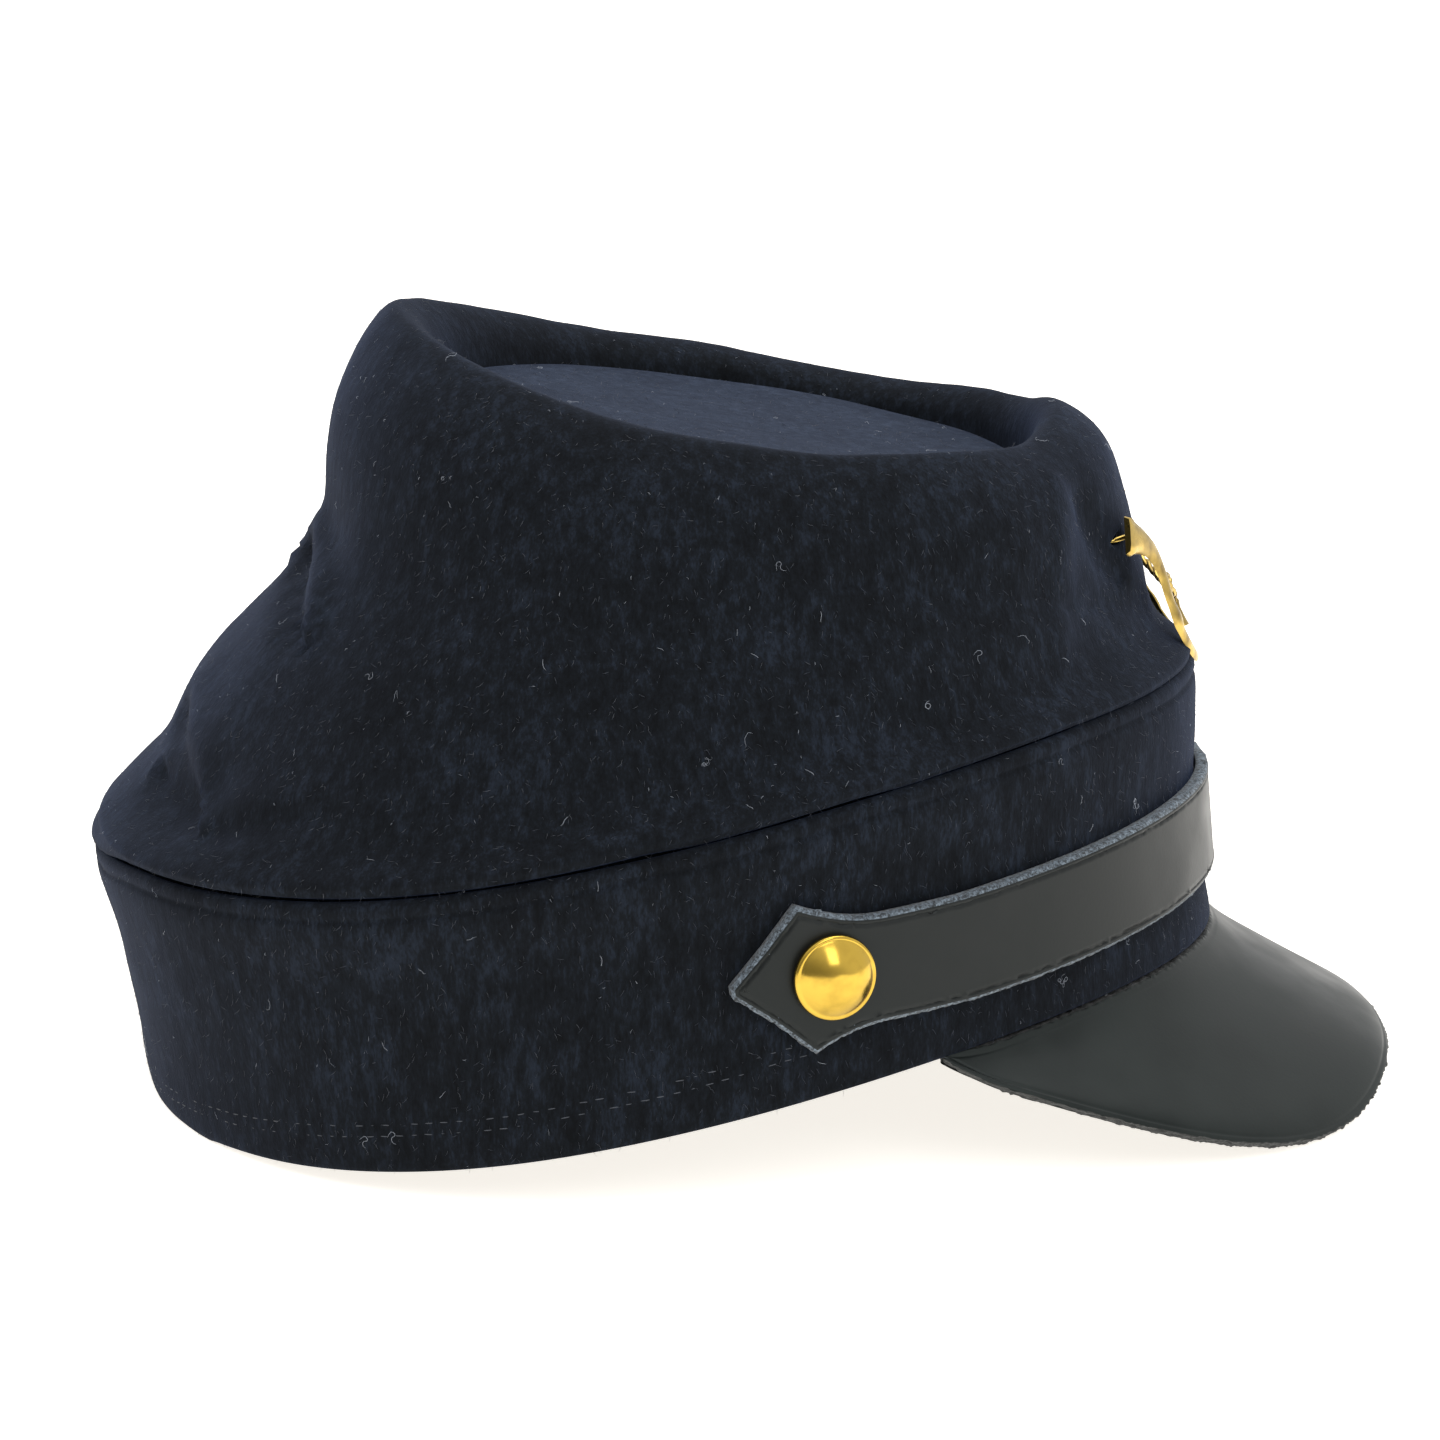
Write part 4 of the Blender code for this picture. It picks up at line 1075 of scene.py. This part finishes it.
NAP_COUNT = 14000
NAP_LENGTH = (0.5, 1.4)
NAP_RADIUS = 0.026 * MM
NAP_HAIR = [(0.0, 0.0, -0.05), (0.5, 0.05, 0.16), (1.0, 0.0, 0.5)]
LINT_RADIUS = 0.028 * MM
NAP_BLUE = (0.030, 0.038, 0.058)
LINT_PALE = (0.36, 0.40, 0.47)

# Each kind of lint: how many lie on the cap, in how many steps a fibre wanders, the length of a
# step in mm, and how sharply it curls.
LINT_KINDS = [
    {"count": 380, "steps": 2, "stride": 0.32, "curl": 0.5},
    {"count": 150, "steps": 4, "stride": 0.50, "curl": 0.6},
    {"count": 46, "steps": 9, "stride": 0.55, "curl": 0.9},
    {"count": 12, "steps": 26, "stride": 0.50, "curl": 1.5},
]
LINT_SHAPES = 5


def wander(chooser, steps, stride, curl):
    """The places of a loose fibre that wanders and curls on the cloth, in mm."""
    place, heading, bend = Vector((0.0, 0.0, 0.04)), 0.0, chooser.gauss(0.0, curl)
    line = [place.copy()]
    for _ in range(steps):
        bend = 0.6 * bend + chooser.gauss(0.0, curl * 0.6)
        heading += bend
        pull = -0.10 * place
        place = place + Vector((cos(heading), sin(heading), 0.0)) * stride + pull
        place.z = chooser.uniform(0.05, 0.35)
        line.append(place.copy())
    line[-1].z = 0.04
    return line


def strand(name, line, radius, steps):
    """A thin three-sided fibre along a rounded line, tapering at both ends."""
    places = [place * MM for place in rounded(line, steps)]
    corners, faces = [], []
    for index, place in enumerate(places):
        ahead = (places[min(index + 1, len(places) - 1)] - places[max(index - 1, 0)]).normalized()
        aside = ahead.cross(Vector((0, 0, 1))).normalized()
        up = aside.cross(ahead)
        share = min(index, len(places) - 1 - index) / (len(places) - 1)
        thick = radius * min(0.3 + 4 * share, 1.0)
        for corner in range(3):
            angle = 2 * pi * corner / 3
            corners.append(place + (aside * cos(angle) + up * sin(angle)) * thick)
            if index:
                one, two = 3 * (index - 1) + corner, 3 * (index - 1) + (corner + 1) % 3
                faces.append((one, one + 3, two + 3, two))
    faces += [(0, 1, 2), tuple(len(corners) - 1 - i for i in range(3))]
    mesh = bpy.data.meshes.new(name)
    mesh.from_pydata(corners, [], faces)
    piece = add_object(name, mesh)
    face_out(piece)
    return piece


def scattered(pieces, count, seed):
    """Random places on the outer skins of cloth pieces, spread evenly by area, with their normals."""
    chooser = np.random.default_rng(seed)
    normals, areas, corners = [], [], []
    for piece in pieces:
        points = points_of(piece)
        for face in piece.data.polygons:
            away = face.center - Vector(CLOTH_CENTRE)
            if face.normal.dot(away) > 0.15 * away.length:
                first, second, third = (points[i] for i in face.vertices[:3])
                corners.append((first, second, third))
                normals.append(tuple(face.normal))
                areas.append(face.area)
    areas = np.array(areas)
    chosen = chooser.choice(len(areas), size=count, p=areas / areas.sum())
    shares = chooser.random((count, 2))
    found = []
    for index, (one, two) in zip(chosen, shares):
        first, second, third = corners[index]
        place = second + (first - second) * one + (third - second) * two
        found.append((Vector(place), Vector(normals[index])))
    return found


cloth_pieces = [band, crown, top]
rng = random.Random(5)
hair = strand("nap_hair", NAP_HAIR, NAP_RADIUS, 1)
hairs = []
for place, normal in scattered(cloth_pieces, NAP_COUNT, 21):
    fall = Vector((rng.gauss(0.0, 0.7), rng.gauss(0.0, 0.7), rng.gauss(-1.0, 0.6)))
    length = rng.uniform(*NAP_LENGTH)
    grow = Matrix.Diagonal((length, length, length * rng.uniform(0.3, 1.1), 1.0))
    hairs.append((0, laid_along(place, normal, fall) @ grow))
nap = many("wool_nap", [hair], hairs)
dress(nap, thread_material("nap_fibre", NAP_BLUE), [])
bpy.data.objects.remove(hair)

lint_shapes, lint_kinds = [], []
for kind in LINT_KINDS:
    for _ in range(LINT_SHAPES):
        line = wander(rng, kind["steps"], kind["stride"], kind["curl"])
        lint_shapes.append(strand("lint_fibre", line, LINT_RADIUS, 2))
    first = len(lint_shapes) - LINT_SHAPES
    lint_kinds += [first + rng.randrange(LINT_SHAPES) for _ in range(kind["count"])]
lint_copies = []
for kind, (place, normal) in zip(lint_kinds, scattered(cloth_pieces, len(lint_kinds), 33)):
    way = Vector((rng.uniform(-1, 1), rng.uniform(-1, 1), rng.uniform(-1, 1)))
    size = rng.uniform(0.6, 1.2)
    shape = Matrix.Diagonal((size, size * rng.uniform(0.6, 1.2), size, 1.0))
    lint_copies.append((kind, laid_along(place, normal, way) @ shape))
lint = many("pale_lint", lint_shapes, lint_copies)
dress(lint, thread_material("lint_fibre", LINT_PALE), [])
for shape in lint_shapes:
    bpy.data.objects.remove(shape)


# The cap stands on a plain pale light table, seen from its right side. The light comes softly from
# above, behind and in front of the cap, and the side by the camera is dimmer.

LIGHT_FROM = Vector((0.45, 0.62, 0.64))
DIM_SIDE = 0.30
TABLE_GLOW = (1.0, 0.955, 0.885, 1.0)
SENSOR_WIDTH = 36.0
FOCAL_LENGTH = 115.559

# The camera's own axes in the first three columns, and its place in the last.
CAMERA_PLACE = (
    (0.999873, 0.000662, -0.015914, -0.018511),
    (-0.015675, 0.218355, -0.975744, -0.850530),
    (0.002829, 0.975869, 0.218337, 0.256236),
    (0.0, 0.0, 0.0, 1.0),
)

lens = bpy.data.cameras.new("camera")
lens.sensor_width = SENSOR_WIDTH
lens.lens = FOCAL_LENGTH
camera = add_object("camera", lens)
camera.matrix_world = Matrix(CAMERA_PLACE)
bpy.context.scene.camera = camera

bpy.ops.object.select_all(action="DESELECT")
bpy.ops.mesh.primitive_plane_add(size=8.0, location=(0, 0, -0.1 * MM))
floor = bpy.context.active_object
floor.name = "floor"
pale = bpy.data.materials.new("light_table")
pale.use_nodes = True
table_finish = {"Base Color": (0.80, 0.79, 0.77, 1.0), "Roughness": 0.8, "Specular IOR Level": 0.1}
table_finish.update({"Emission Color": TABLE_GLOW, "Emission Strength": 0.88})
set_inputs(pale.node_tree.nodes["Principled BSDF"], table_finish)
floor.data.materials.append(pale)

sky = bpy.data.worlds.new("daylight")
sky.use_nodes = True
sky_nodes, sky_links = sky.node_tree.nodes, sky.node_tree.links
way = sky_nodes.new("ShaderNodeTexCoord")
facing = sky_nodes.new("ShaderNodeVectorMath")
facing.operation = "DOT_PRODUCT"
facing.inputs[1].default_value = LIGHT_FROM.normalized()
bright = sky_nodes.new("ShaderNodeMapRange")
bright.interpolation_type = "SMOOTHSTEP"
set_inputs(bright, {"From Min": -0.75, "From Max": 0.40, "To Min": DIM_SIDE, "To Max": 1.0})
sky_links.new(way.outputs["Generated"], facing.inputs[0])
sky_links.new(facing.outputs["Value"], bright.inputs["Value"])
sky_links.new(bright.outputs["Result"], sky_nodes["Background"].inputs["Strength"])
sky_nodes["Background"].inputs["Color"].default_value = (1.0, 1.0, 1.0, 1.0)
bpy.context.scene.world = sky
bpy.context.scene.view_settings.view_transform = "Standard"


def softbox(name, place, aim, wide, tall, watts):
    """A soft studio light turned towards a place."""
    light = bpy.data.lights.new(name, "AREA")
    light.shape = "RECTANGLE"
    light.size = wide
    light.size_y = tall
    light.energy = watts
    holder = add_object(name, light)
    holder.location = place
    holder.rotation_euler = (Vector(aim) - Vector(place)).to_track_quat("-Z", "Y").to_euler()


softbox("overhead", (0.15, 0.25, 1.2), (0.0, 0.0, 0.1), 0.9, 0.9, 8.0)
softbox("high_front", (0.36, -0.85, 0.95), (0.0, 0.0, 0.06), 0.46, 0.86, 3.8)
